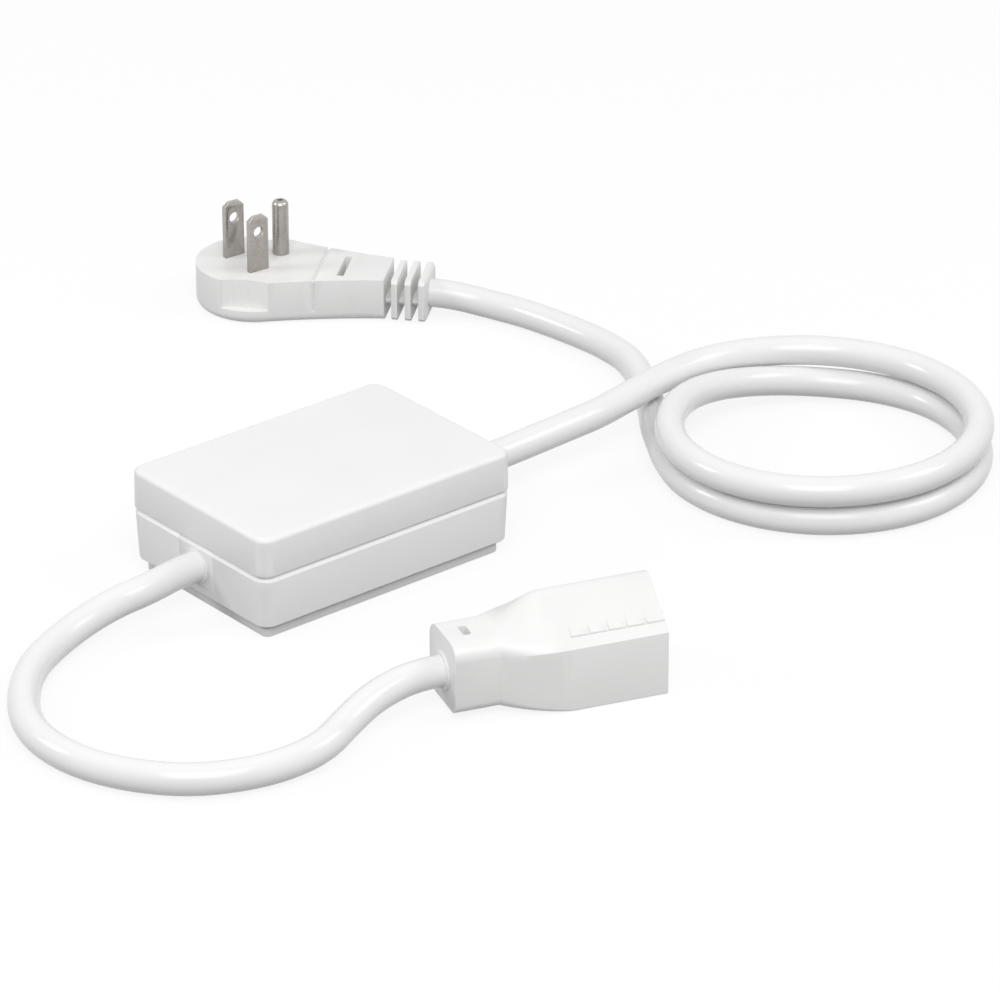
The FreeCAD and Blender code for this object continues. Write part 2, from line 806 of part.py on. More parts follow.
def make_relay_contact():
    """The fixed contact: a post on the relay's base with a round contact on top."""
    contact_x = f"{pivot_x} + contact_place"
    contact_top = f"{pivot_z} + {lift} + armature_thick - contact_thick - contact_gap"
    low = (f"{contact_x} - post_thick / 2", "relay_place - spring_width / 2", relay_floor)
    post_tall = f"{contact_top} - contact_thick - {relay_floor}"
    post = block("relay_contact_post", low, ("post_thick", "spring_width", post_tall))
    middle = (contact_x, "relay_place", f"{contact_top} - contact_thick")
    face = rod("relay_contact_face", middle, "contact_radius", "contact_thick")
    return joined("relay_fixed_contact", [post, face])


def make_relay_armature():
    """The armature and its contact spring, drawn about the pivot and swung open."""
    plate = new_body("relay_armature")
    edge = new_sketch(plate, "edge", "XZ_Plane")
    rectangle(edge, "-armature_heel", "armature_reach", lift, f"{lift} + armature_thick")
    pad(edge, "plate", "armature_width", centred=True)

    low = ("spring_start", "-spring_width / 2", f"{lift} + armature_thick")
    leaf = block("relay_spring_leaf", low, ("spring_end - spring_start", "spring_width", "spring_thick"))
    middle = ("contact_place", "0", f"{lift} + armature_thick - contact_thick")
    button = rod("relay_spring_button", middle, "contact_radius", "contact_thick + spring_thick")
    middle = ("contact_place", "0", f"{lift} + armature_thick + spring_thick")
    head = rod("relay_spring_head", middle, "contact_head", "contact_dome")
    spring = joined("relay_spring_contact", [leaf, button, head])
    for item in (plate, spring):
        item.Placement.Rotation = FreeCAD.Rotation(vector(0, -1, 0), 1)
        drive(item, Placement__Rotation__Angle="armature_angle")
        place(item, pivot_x, "relay_place", pivot_z)
    return [plate, spring]


core_tall = f"({ceiling} - supply_headroom - {board_top})"


def make_supply():
    """The supply transformer: a laminated core with two windows, and the winding on its middle leg."""
    core = new_body("supply_core")
    face = new_sketch(core, "face", "XZ_Plane")
    rectangle(face, "-core_length / 2", "core_length / 2", "0", core_tall)
    inner_low = "core_leg / 2"
    inner_high = "core_leg / 2 + window_width"
    window_top = f"{core_tall} - core_yoke"
    rectangle(face, inner_low, inner_high, "core_yoke", window_top)
    rectangle(face, f"-({inner_high})", f"-({inner_low})", "core_yoke", window_top)
    pad(face, "laminations", "core_depth", centred=True)

    winding = new_body("supply_winding")
    ring = new_sketch(winding, "ring", "XY_Plane", "core_yoke + winding_clear / 2")
    half_x = "core_leg / 2 + window_width - winding_clear"
    rounded_rectangle(ring, half_x, "winding_depth / 2", "inner_corner")
    rectangle(ring, "-core_leg / 2", "core_leg / 2", "-core_depth / 2", "core_depth / 2")
    pad(ring, "turns", f"{core_tall} - 2 * core_yoke - winding_clear")
    for body in (core, winding):
        place(body, "0", "supply_place", board_top)
    return [core, winding]


def make_components():
    middle = ("storage_x", "storage_y", board_top)
    storage = rod("storage_capacitor", middle, "storage_radius", "storage_tall")

    filter_box = new_body("filter_capacitor")
    face = new_sketch(filter_box, "face", "XY_Plane")
    rounded_rectangle(face, "filter_length / 2", "filter_width / 2", "filter_width / 6")
    pad(face, "case", "filter_tall")
    filter_x = "relay_length / 2 + filter_clearance + filter_length / 2"
    place(filter_box, filter_x, "filter_y", board_top)

    middle = ("varistor_x", "varistor_y - varistor_thick / 2", f"{board_top} + varistor_radius")
    varistor = rod("surge_varistor", middle, "varistor_radius", "varistor_thick", (0, 1, 0))

    height = f"{board_top} + fuse_cap_radius"
    middle = ("-fuse_length / 2", "fuse_y", height)
    pieces = [rod("fuse_tube", middle, "fuse_radius", "fuse_length", (1, 0, 0))]
    for side, start in ((1, "-fuse_length / 2"), (2, "fuse_length / 2 - fuse_cap_length")):
        middle = (start, "fuse_y", height)
        pieces.append(rod(f"fuse_cap_{side}", middle, "fuse_cap_radius", "fuse_cap_length", (1, 0, 0)))
    fuse = joined("fuse", pieces)

    low_x = "receiver_x - receiver_length / 2"
    low_y = "receiver_y - receiver_width / 2"
    high = f"{board_top} + receiver_lift"
    size = ("receiver_length", "receiver_width", "receiver_thick")
    card = block("receiver_card", (low_x, low_y, high), size)
    size = ("receiver_length", "header_width", "receiver_lift")
    header = block("receiver_header", (low_x, low_y, board_top), size)
    receiver = joined("receiver_board", [card, header])
    low = (
        "receiver_x - shield_length / 2",
        "receiver_y - shield_width / 2",
        f"{high} + receiver_thick",
    )
    shield = block("receiver_shield", low, ("shield_length", "shield_width", "shield_tall"))
    return [storage, filter_box, varistor, fuse, receiver, shield]


# Plug
def on_plug(item, x="0", y="0", z="0", extra_turn="0"):
    """Places a piece by its place on the plug: x towards the cord, from the head's middle."""
    row_x = f"plug_x + ({x}) * cos(plug_turn) - ({y}) * sin(plug_turn)"
    row_y = f"plug_y + ({x}) * sin(plug_turn) + ({y}) * cos(plug_turn)"
    return place(item, row_x, row_y, z, f"plug_turn + ({extra_turn})")


def prong_place(along, across):
    """A place on the plug's face, from the middle between the blades, along the blades' width."""
    x = f"(-prong_middle + ({along}) * cos(prong_turn) - ({across}) * sin(prong_turn))"
    y = f"(-prong_middle + ({along}) * sin(prong_turn) + ({across}) * cos(prong_turn))"
    return x, y


def flank_half(x):
    """The half width of the plug's body between its shoulder and its neck, as if the flank were straight."""
    shoulder = "sqrt(head_radius ^ 2 - shoulder_x ^ 2)"
    return f"({shoulder} - ({shoulder} - neck_half) * (({x}) - shoulder_x) / (neck_x - shoulder_x))"


def make_plug_body():
    body = new_body("plug_body")
    shoulder = "sqrt(head_radius ^ 2 - shoulder_x ^ 2)"
    plan = new_sketch(body, "plan", "XY_Plane")
    outline(plan, [
        ("shoulder_x", f"-{shoulder}", "flank_radius", -1),
        ("neck_x", "-neck_half"),
        ("neck_x", "neck_half", "flank_radius", -1),
        ("shoulder_x", shoulder, "head_radius", 1),
        ("-head_radius", "0", "head_radius", 1),
    ])
    pad(plan, "block", "plug_thick")

    def lower_rim(edge):
        return level_edge(edge, 0) and edge.BoundBox.XMin < value("neck_x - overrun")

    soften(body, "lower_edge", "Fillet", lower_rim, Radius="plug_edge")

    scoops = new_sketch(body, "scoops", "XY_Plane", "plug_thick")
    far = "(head_radius + overrun)"
    for side in (-1, 1):
        outline(scoops, [
            (f"-{side} * shoulder_x", f"{side} * {shoulder}", "scoop_radius", 1),
            (f"{side} * shoulder_x", f"{side} * {shoulder}"),
            (f"{side} * shoulder_x", f"{side} * {far}"),
            (f"-{side} * shoulder_x", f"{side} * {far}"),
        ])
    pocket(scoops, "finger_scoops", "plug_thick - scoop_floor")

    groove = new_sketch(body, "groove", "YZ_Plane", "groove_x")
    outer = f"({flank_half('groove_x')} + overrun)"
    inner = f"({flank_half('groove_x')} - groove_depth - flank_sag)"
    outline(groove, [
        (f"-{outer}", "groove_floor"),
        (f"-{inner}", "groove_floor"),
        (f"-{inner}", "plug_thick - groove_depth"),
        (inner, "plug_thick - groove_depth"),
        (inner, "groove_floor"),
        (outer, "groove_floor"),
        (outer, "plug_thick + overrun"),
        (f"-{outer}", "plug_thick + overrun"),
    ])
    pocket(groove, "groove_cut", "groove_width", centred=True)

    recess = new_sketch(body, "recess", "XY_Plane", "plug_thick")
    low = "pocket_x - pocket_length / 2"
    high = "pocket_x + pocket_length / 2"
    rectangle(recess, low, high, "-pocket_width / 2", "pocket_width / 2")
    pocket(recess, "recess_cut", "pocket_depth")

    seats = new_sketch(body, "seats", "XY_Plane", "plug_thick")
    seat_along = "blade_width + 2 * seat_gap"
    seat_across = "blade_thick + 2 * seat_gap"
    for side in (-1, 1):
        x, y = prong_place("0", f"{side} * blade_spacing / 2")
        turned_rectangle(seats, x, y, seat_along, seat_across, "prong_turn")
    x, y = prong_place("pin_place", "0")
    circle(seats, x, y, "pin_shank + seat_gap")
    pocket(seats, "prong_seats", "prong_seat")

    rib = new_sketch(body, "rib", "YZ_Plane", "rib_start")
    flat = "(rib_half - rib_corner)"
    outline(rib, [
        (f"-{flat}", "rib_floor"),
        (flat, "rib_floor"),
        ("rib_half", "rib_floor + rib_corner"),
        ("rib_half", "plug_thick - rib_corner"),
        (flat, "plug_thick"),
        (f"-{flat}", "plug_thick"),
        ("-rib_half", "plug_thick - rib_corner"),
        ("-rib_half", "rib_floor + rib_corner"),
    ])
    stem = new_sketch(body, "stem", "YZ_Plane", "neck_x")
    circle(stem, "0", "plug_thick / 2", "rib_core")
    pad(stem, "stem_pad", "rib_start - neck_x + 2 * rib_pitch + rib_thick")
    first = pad(rib, "rib_pad", "rib_thick")
    ribs = body.newObject("PartDesign::LinearPattern", "plug_body_ribs")
    ribs.Originals = [first]
    ribs.Direction = (rib, ["N_Axis"])
    ribs.Occurrences = 3
    drive(ribs, Length="2 * rib_pitch")
    body.Tip = ribs
    doc.recompute()

    tip_start = "rib_start + 2 * rib_pitch + rib_thick"
    tips = []
    tip_end = f"{tip_start} + tip_length"
    for name, place_x, half in (("tip_foot", tip_start, "rib_half"), ("tip_end", tip_end, "tip_half")):
        sketch = new_sketch(body, name, "YZ_Plane", place_x)
        corner = f"rib_corner * {half} / rib_half"
        tall = f"(plug_thick - rib_floor) / 2 * {half} / rib_half"
        flat = f"({half} - {corner})"
        middle = "(plug_thick + rib_floor) / 2"
        outline(sketch, [
            (f"-{flat}", f"{middle} - {tall}"),
            (flat, f"{middle} - {tall}"),
            (half, f"{middle} - {tall} + {corner}"),
            (half, f"{middle} + {tall} - {corner}"),
            (flat, f"{middle} + {tall}"),
            (f"-{flat}", f"{middle} + {tall}"),
            (f"-{half}", f"{middle} + {tall} - {corner}"),
            (f"-{half}", f"{middle} - {tall} + {corner}"),
        ])
        tips.append(sketch)
    loft(body, "tip", tips)
    return on_plug(body)


def make_blade(label, side):
    """A flat blade, drawn standing: tip corners cut off, tip edges bevelled, one round hole."""
    body = new_body(label)
    face = new_sketch(body, "face", "XZ_Plane")
    half = "blade_width / 2"
    outline(face, [
        (f"-{half}", "-prong_seat"),
        (half, "-prong_seat"),
        (half, "blade_reach - blade_chamfer"),
        (f"{half} - blade_chamfer", "blade_reach"),
        (f"-({half} - blade_chamfer)", "blade_reach"),
        (f"-{half}", "blade_reach - blade_chamfer"),
    ])
    circle(face, "0", "blade_hole_height", "blade_hole / 2")
    pad(face, "strip", "blade_thick", centred=True)
    top = value("blade_reach")

    def tip_side(edge):
        return level_edge(edge, top) and edge.Length > value("2 * blade_thick")

    def thin_tip(bevel):
        edges = [edge for edge in bevel.Shape.Edges if level_edge(edge, top)]
        reach = max(edge.BoundBox.YMax for edge in edges)
        return abs(reach - value("blade_thick / 2 - blade_bevel")) < 1e-3

    bevel_edges(body, "tip_bevel", tip_side, "blade_bevel", "blade_bevel_height", thin_tip)
    x, y = prong_place("0", f"{side} * blade_spacing / 2")
    return on_plug(body, x, y, "plug_thick", "prong_turn")


def make_ground_pin():
    """The round ground pin: a rolled tube with a domed, open tip, on a narrower shank."""
    body = new_body("plug_ground_pin")
    profile = new_sketch(body, "profile", "XZ_Plane")
    outline(profile, [
        ("0", "-prong_seat"),
        ("pin_shank", "-prong_seat"),
        ("pin_shank", "0"),
        ("pin_radius", "0"),
        ("pin_radius", "pin_reach - pin_radius + pin_bore", "pin_radius - pin_bore", 1),
        ("pin_bore", "pin_reach"),
        ("pin_bore", "pin_reach - pin_bore_depth"),
        ("0", "pin_reach - pin_bore_depth"),
    ])
    feature = body.newObject("PartDesign::Revolution", "plug_ground_pin_turn")
    feature.Profile = profile
    feature.ReferenceAxis = (profile, ["V_Axis"])
    feature.Angle = 360
    x, y = prong_place("pin_place", "0")
    return on_plug(body, x, y, "plug_thick", "prong_turn")


# Receptacle
def on_outlet(item):
    return place(item, "outlet_x", "outlet_y", "0", "outlet_turn")


def between(size_name, share):
    """A size on the way from the rear section to the front one."""
    return f"(rear_{size_name} + (front_{size_name} - rear_{size_name}) * {share})"


def outlet_section(body, name, x, share):
    """A section of the receptacle: round lower corners, upright walls, shoulders and a round ridge.
    Its width spreads fast from the rear block on, while its ridge rises in an S."""
    spread = 1 - (1 - share) ** value("spread_power")
    rise = smooth((share * value("rise_speed")) ** value("rise_power"))
    half = between("half", spread)
    wall = between("wall_top", spread)
    shoulder_y = between("shoulder_half", spread)
    shoulder_z = between("shoulder_top", spread)
    shoulder_sag = between("shoulder_sag", spread)
    ridge_y = between("ridge_half", rise)
    ridge_z = between("ridge_top", rise)
    ridge_sag = between("ridge_sag", rise)
    under_round = between("under_round", share)
    low = f"(rear_bottom * {1 - share})"
    shoulder_span = f"sqrt(({half} - {shoulder_y}) ^ 2 + ({shoulder_z} - {wall}) ^ 2)"
    shoulder_radius = f"{shoulder_span} * (1 + 4 * {shoulder_sag} ^ 2) / (8 * {shoulder_sag})"
    ridge_radius = f"2 * {ridge_y} * (1 + {ridge_sag} ^ 2) / (4 * {ridge_sag})"
    flat = f"({half} - {under_round})"
    sketch = new_sketch(body, name, "YZ_Plane", x)
    outline(sketch, [
        (f"-{flat}", low),
        (flat, low, under_round, 1),
        (half, f"{low} + {under_round}"),
        (half, wall, shoulder_radius, 1),
        (shoulder_y, shoulder_z),
        (ridge_y, ridge_z, ridge_radius, 1),
        (f"-{ridge_y}", ridge_z),
        (f"-{shoulder_y}", shoulder_z, shoulder_radius, 1),
        (f"-{half}", wall),
        (f"-{half}", f"{low} + {under_round}", under_round, 1),
    ])
    return sketch


def cut_ledges(body):
    """Lowers the shoulders of the front block, so that its roof ends in a small step."""
    ledges = new_sketch(body, "ledges", "YZ_Plane", "outlet_length")
    for side in (-1, 1):
        outline(ledges, [
            (f"{side} * front_half", "front_wall_top"),
            (f"{side} * front_shoulder_half", "front_shoulder_top - ledge_step"),
            (f"{side} * front_shoulder_half", "front_shoulder_top + overrun"),
            (f"{side} * front_half", "front_shoulder_top + overrun"),
        ])
    pocket(ledges, "ledge_cut", "outlet_length - flare_end")


def cut_notches(body):
    """Five grip notches on both slopes of the roof, deepest at the step."""
    slope = "(front_ridge_top - front_shoulder_top) / (front_shoulder_half - front_ridge_half)"
    inner_z = f"(front_shoulder_top + (front_shoulder_half - notch_inner) * {slope})"
    notch = new_sketch(body, "notch", "YZ_Plane", "flare_end + notch_start + notch_width / 2")
    for side in (-1, 1):
        outline(notch, [
            (f"{side} * front_shoulder_half", "front_shoulder_top - notch_depth"),
            (f"{side} * notch_inner", inner_z),
            (f"{side} * notch_inner", f"{inner_z} + overrun"),
            (f"{side} * front_shoulder_half", f"{inner_z} + overrun"),
        ])
    first = pocket(notch, "notch_cut", "notch_width")
    notches = body.newObject("PartDesign::LinearPattern", "connector_body_notches")
    notches.Originals = [first]
    notches.Direction = (notch, ["N_Axis"])
    notches.Occurrences = 5
    drive(notches, Length="4 * notch_pitch")
    body.Tip = notches
    doc.recompute()


def make_outlet_body():
    body = new_body("connector_body")
    rear = outlet_section(body, "rear", "0", 0)
    pad(rear, "rear_block", "rear_length")
    steps = 6
    sections = []
    for step in range(steps + 1):
        share = step / steps
        x = f"rear_length + (flare_end - rear_length) * {share}"
        sections.append(outlet_section(body, f"flare_{step}", x, share))
    loft(body, "flare", sections, ruled=False)
    front = outlet_section(body, "front", "flare_end", 1)
    pad(front, "front_block", "outlet_length - flare_end")

    collar = new_sketch(body, "collar", "YZ_Plane", "-outlet_collar_reach")
    circle(collar, "0", "outlet_cord_height", "outlet_collar")
    pad(collar, "collar_pad", "outlet_collar_reach + overrun")

    hole = new_sketch(body, "hole", "XY_Plane", "rear_ridge_top + overrun")
    half_x = "hang_hole_width / 2"
    half_y = "hang_hole_length / 2"
    rounded_rectangle(hole, half_x, half_y, "hang_hole_corner", middle="hang_hole_x")
    pocket(hole, "hang_hole", "hang_hole_depth + overrun")

    cut_ledges(body)
    cut_notches(body)

    openings = new_sketch(body, "openings", "YZ_Plane", "outlet_length")
    cavities = new_sketch(body, "cavities", "YZ_Plane", "outlet_length - outlet_face_wall")
    for sketch, kind in ((openings, "slot"), (cavities, "cavity")):
        low_z = f"slot_height - {kind}_tall / 2"
        high_z = f"slot_height + {kind}_tall / 2"
        for side in (-1, 1):
            middle = f"{side} * blade_spacing / 2"
            rectangle(sketch, f"{middle} - {kind}_wide / 2", f"{middle} + {kind}_wide / 2", low_z, high_z)
    circle(openings, "0", "slot_height + pin_place", "earth_hole_radius")
    circle(cavities, "0", "slot_height + pin_place", "earth_cavity_radius")
    pocket(openings, "face_openings", "outlet_face_wall")
    pocket(cavities, "contact_cavities", "cavity_depth")
    return on_outlet(body)


def make_blade_contact(label, side):
    """A folded clip that grips a blade: two leaves joined at the back of its cavity."""
    body = new_body(label)
    plan = new_sketch(body, "plan", "XY_Plane", "slot_height - clip_tall / 2")
    back = "(outlet_length - outlet_face_wall - cavity_depth)"
    front = "(outlet_length - outlet_face_wall - fit_gap)"
    middle = f"{side} * blade_spacing / 2"
    outer = "(cavity_wide / 2 - fit_gap)"
    inner = f"({outer} - clip_thick)"
    outline(plan, [
        (back, f"{middle} - {outer}"),
        (front, f"{middle} - {outer}"),
        (front, f"{middle} - {inner}"),
        (f"{back} + clip_thick", f"{middle} - {inner}"),
        (f"{back} + clip_thick", f"{middle} + {inner}"),
        (front, f"{middle} + {inner}"),
        (front, f"{middle} + {outer}"),
        (back, f"{middle} + {outer}"),
    ])
    pad(plan, "clip", "clip_tall")
    return on_outlet(body)


def make_earth_contact():
    body = new_body("connector_contact_ground")
    ring = new_sketch(body, "ring", "YZ_Plane", "outlet_length - outlet_face_wall - cavity_depth")
    circle(ring, "0", "slot_height + pin_place", "earth_clip_radius")
    circle(ring, "0", "slot_height + pin_place", "earth_clip_bore")
    pad(ring, "sleeve", "cavity_depth - fit_gap")
    return on_outlet(body)


# Cords
# Points on each free stretch, chosen along the cord from the box or the plug outwards.
LEAD_ROUTE = [(59.3, 0.2, 11.5), (87.1, 0.1, 12.8)]
TAIL_ROUTE = [
    (130.6, 87.9, 4.2),
    (134.3, 76.0, 4.2),
    (136.6, 60.5, 4.2),
    (137.6, 47.0, 4.2),
    (135.6, 31.5, 4.2),
    (120.0, 6.5, 4.2),
]
OUTPUT_ROUTE = [
    (-47.0, 0.0, 11.5),
    (-55.5, 0.4, 9.75),
    (-66.5, 3.4, 7.2),
    (-83.0, 1.4, 4.5),
    (-102.0, -9.0, 4.2),
    (-118.0, -31.6, 4.2),
    (-118.0, -55.8, 4.2),
    (-105.1, -76.9, 4.2),
    (-86.2, -86.2, 4.2),
    (-70.0, -88.0, 5.4),
    (-56.8, -82.4, 6.8),
    (-46.3, -79.8, 8.9),
]
# How far a cord keeps straight on where it leaves the coil, the plug or the receptacle.
STRAIGHT_TO_COIL = 17.7
STRAIGHT_FROM_COIL = 12.0
STRAIGHT_AT_PLUG = 5.5
STRAIGHT_AT_OUTLET = 7.0


def route_edges(points):
    """Straight runs joined by tangent arcs, each as large as its two runs allow."""
    edges = []
    radii = []
    start = points[0]
    for before, corner, after in zip(points, points[1:], points[2:]):
        arriving = corner - before
        leaving = after - corner
        turn = arriving.getAngle(leaving)
        cut = 0.45 * min(arriving.Length, leaving.Length)
        arriving.normalize()
        leaving.normalize()
        arc_start = corner - arriving * cut
        arc_end = corner + leaving * cut
        inward = (leaving - arriving).normalize()
        edges.append(Part.LineSegment(start, arc_start).toShape())
        edges.append(Part.Arc(arc_start, corner + inward * depth_to_arc(cut, turn), arc_end).toShape())
        radii.append(cut / math.tan(turn / 2))
        start = arc_end
    edges.append(Part.LineSegment(start, points[-1]).toShape())
    return edges, radii


def depth_to_arc(cut, turn):
    """How far an arc's middle lies from the corner that it rounds."""
    radius = cut / math.tan(turn / 2)
    return radius / math.cos(turn / 2) - radius


def tube(edges, width):
    """A round tube along a path, square at both ends."""
    path = Part.Wire(edges)
    start = path.OrderedEdges[0]
    first = start.FirstParameter
    section = Part.Circle(start.valueAt(first), start.tangentAt(first), width / 2)
    shell = Part.BRepOffsetAPI.MakePipeShell(path)
    shell.add(Part.Wire(section.toShape()))
    shell.build()
    shell.makeSolid()
    return shell.shape(), path


def report_tube(label, solid, path, width, radii):
    expected = math.pi * width * width / 4 * path.Length
    print(f"{label}: length {path.Length:.1f}, volume share {solid.Volume / expected:.4f}")
    if radii:
        print(f"{label}: radii", " ".join(f"{radius:.0f}" for radius in radii))


def make_cord(label, points):
    edges, radii = route_edges(points)
    width = value("cord_width")
    solid, path = tube(edges, width)
    report_tube(label, solid, path, width, radii)
    item = doc.addObject("Part::Feature", label)
    item.Shape = solid
    item.Placement = FreeCAD.Placement()
    return item


def coil_point(angle):
    """The middle of the coiled cord at an angle in degrees, which falls along the cord."""
    swell = max(angle - value("flare_from"), 0) / value("flare_full - flare_from")
    near = min(max((angle - value("draw_middle")) / value("draw_half"), -1), 1)
    radius = value("loop_radius") + value("flare_width") * swell ** 2
    radius -= value("draw_in") * (1 + math.cos(math.pi * near)) / 2
    radius -= value("close_in") * smooth((value("close_from") - angle) / value("close_from - coil_end"))
    fallen = smooth((value("climb_from") - angle) / value("climb_from - climb_to"))
    height = value("loop_floor") + value("loop_rise") * (1 - fallen)
    turn = math.radians(angle)
    middle = vector(value("coil_x"), value("coil_y"), height)
    return middle + vector(radius * math.cos(turn), radius * math.sin(turn), 0)


def coil_heading(angle):
    step = 0.01
    return (coil_point(angle - step) - coil_point(angle + step)).normalize()


def biarc(start, start_heading, end, end_heading):
    """Two arcs that meet smoothly and leave and arrive with the given headings."""
    span = end - start
    both = start_heading + end_heading
    bend = 2 * (1 - start_heading.dot(end_heading))
    reach = (math.sqrt(span.dot(both) ** 2 + bend * span.dot(span)) - span.dot(both)) / bend
    first_corner = start + start_heading * reach
    second_corner = end - end_heading * reach
    meeting = (first_corner + second_corner) * 0.5
    arcs = []
    for low, corner, high in ((start, first_corner, meeting), (meeting, second_corner, end)):
        turn = (corner - low).getAngle(high - corner)
        inward = ((low + high) * 0.5 - corner).normalize()
        arcs.append(Part.Arc(low, corner + inward * depth_to_arc(reach, turn), high).toShape())
    return arcs


def coil_ends():
    """Where the coiled cord begins and ends, one cord width beyond its turns, and its headings there."""
    width = value("cord_width")
    first = value("coil_start")
    last = value("coil_end")
    begin = coil_point(first) - coil_heading(first) * width
    finish = coil_point(last) + coil_heading(last) * width
    return begin, coil_heading(first), finish, coil_heading(last)


def least_gap(points, width, apart):
    """The least distance between stretches of the cord that are not neighbours, less its width."""
    least = 1e9
    for index, point in enumerate(points):
        for other in points[index + apart:]:
            least = min(least, point.distanceToPoint(other))
    return least - width


def make_coil():
    """The two turns that lie on each other: an upper one, the climb, and a lower one."""
    width = value("cord_width")
    first = value("coil_start")
    last = value("coil_end")
    begin, _, finish, _ = coil_ends()
    arcs_wanted = 15
    angles = [first + (last - first) * step / arcs_wanted for step in range(arcs_wanted + 1)]
    edges = [Part.LineSegment(begin, coil_point(first)).toShape()]
    for low, high in zip(angles, angles[1:]):
        edges += biarc(coil_point(low), coil_heading(low), coil_point(high), coil_heading(high))
    edges.append(Part.LineSegment(coil_point(last), finish).toShape())
    solid, path = tube(edges, width)
    report_tube("line_cord_coil", solid, path, width, [])
    sample_step = 1.5
    sample = path.discretize(Distance=sample_step)
    apart = round(10 * width / sample_step)
    print(f"line_cord_coil: least gap to itself {least_gap(sample, width, apart):.2f}")
    item = doc.addObject("Part::Feature", "line_cord_coil")
    item.Shape = solid
    item.Placement = FreeCAD.Placement()
    return item


def make_cords():
    turn = math.radians(value("plug_turn"))
    heading = vector(math.cos(turn), math.sin(turn), 0)
    plug_tip = value("rib_start + 2 * rib_pitch + rib_thick + tip_length")
    plug_end = vector(value("plug_x"), value("plug_y"), value("plug_thick / 2")) + heading * plug_tip

    turn = math.radians(value("outlet_turn"))
    inward = vector(math.cos(turn), math.sin(turn), 0)
    outlet_rear = vector(value("outlet_x"), value("outlet_y"), value("outlet_cord_height"))
    outlet_end = outlet_rear - inward * value("outlet_collar_reach")

    exit_x = value("box_length / 2 + collar_reach")
    exit_z = value("cord_height")
    begin, begin_heading, finish, finish_heading = coil_ends()
    lead = [vector(exit_x, 0, exit_z)]
    lead += [vector(*point) for point in LEAD_ROUTE]
    lead += [begin - begin_heading * STRAIGHT_TO_COIL, begin]
    tail = [plug_end, plug_end + heading * STRAIGHT_AT_PLUG]
    tail += [vector(*point) for point in TAIL_ROUTE]
    tail += [finish + finish_heading * STRAIGHT_FROM_COIL, finish]
    output = [vector(-exit_x, 0, exit_z)]
    output += [vector(*point) for point in OUTPUT_ROUTE]
    output += [outlet_end - inward * STRAIGHT_AT_OUTLET, outlet_end]
    return [
        make_cord("line_cord_lead", lead),
        make_coil(),
        make_cord("line_cord_tail", tail),
        make_cord("output_cord", output),
    ]


def check_document():
    for item in doc.Objects:
        if "Invalid" in item.State or "Error" in item.State:
            raise ValueError(f"{item.Name} is {item.State}")


def export(nodes):
    os.makedirs("parts", exist_ok=True)
    for item in nodes:
        if item.Shape.isNull() or not item.Shape.isValid():
            raise ValueError(f"{item.Label} has no valid shape")
    for item in nodes:
        item.Shape.exportStep(f"parts/{item.Label}.step")


def build():
    write_sizes()
    nodes = [
        make_upper_shell(),
        make_lower_shell(),
        make_base_plate(),
        make_bushing("line_cord_bushing", 1),
        make_bushing("output_cord_bushing", -1),
        make_circuit_board(),
        make_terminal("line_terminal", 1),
        make_terminal("output_terminal", -1),
    ]
    nodes += make_wires(1, ["line_wire_hot", "line_wire_ground", "line_wire_neutral"])
    nodes += make_wires(-1, ["output_wire_hot", "output_wire_ground", "output_wire_neutral"])
    nodes += make_relay_housing()
    nodes += make_relay_magnet()
    nodes.append(make_relay_contact())
    nodes += make_relay_armature()
    nodes += make_supply()
    nodes += make_components()
    nodes += [
        make_plug_body(),
        make_blade("plug_blade_line", -1),
        make_blade("plug_blade_neutral", 1),
        make_ground_pin(),
        make_outlet_body(),
        make_blade_contact("connector_contact_line", -1),
        make_blade_contact("connector_contact_neutral", 1),
        make_earth_contact(),
    ]
    nodes += make_cords()
    doc.recompute()
    check_document()
    export(nodes)


build()
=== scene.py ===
# Looks of the lighting control module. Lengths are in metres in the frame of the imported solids.
import json
import math

import bmesh
import bpy
from mathutils import Matrix, Vector


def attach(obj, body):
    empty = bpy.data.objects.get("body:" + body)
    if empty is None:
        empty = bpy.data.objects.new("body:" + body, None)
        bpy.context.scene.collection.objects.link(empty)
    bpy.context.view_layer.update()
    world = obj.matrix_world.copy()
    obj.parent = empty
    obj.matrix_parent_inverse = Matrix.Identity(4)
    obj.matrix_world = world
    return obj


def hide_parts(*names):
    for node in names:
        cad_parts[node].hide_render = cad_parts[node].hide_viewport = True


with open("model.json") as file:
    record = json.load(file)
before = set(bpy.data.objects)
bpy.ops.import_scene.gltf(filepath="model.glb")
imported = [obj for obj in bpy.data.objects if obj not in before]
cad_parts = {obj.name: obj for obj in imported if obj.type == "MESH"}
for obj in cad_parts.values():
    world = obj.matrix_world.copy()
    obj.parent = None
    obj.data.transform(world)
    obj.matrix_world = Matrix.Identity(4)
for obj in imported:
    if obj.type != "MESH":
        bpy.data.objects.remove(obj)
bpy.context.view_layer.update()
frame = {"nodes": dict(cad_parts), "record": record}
nodes = frame["nodes"]
MAIN_BODY = "module"

# Sizes shared with the solids
CORD_WIDTH = 0.0082
CORD_EXIT = Vector((0.0415, 0.0, 0.0115))
PLUG_HEAD = Vector((0.08669, 0.14055, 0.0))
PLUG_TURN = math.radians(-49.83)
PLUG_CORD_HEIGHT = 0.00635
PLUG_LENGTH = 0.05085
OUTLET_REAR = Vector((-0.02683, -0.08198, 0.0100))
OUTLET_TURN = math.radians(-18.6)
OUTLET_COLLAR_REACH = 0.0006

# The plug's slot and the receptacle's hole, sunk deeper than the solids have them
SLOT_FLOOR = 0.0111
HOLE_FLOOR = 0.01765
EXTRA_DEPTH = 0.0040

# The plug's stem between its ribs: where it begins, its round form and the flat one
STEM_START = 0.0385
STEM_RADIUS = 0.0046
STEM_MIDDLE = 0.0047
STEM_FLATNESS = 0.4

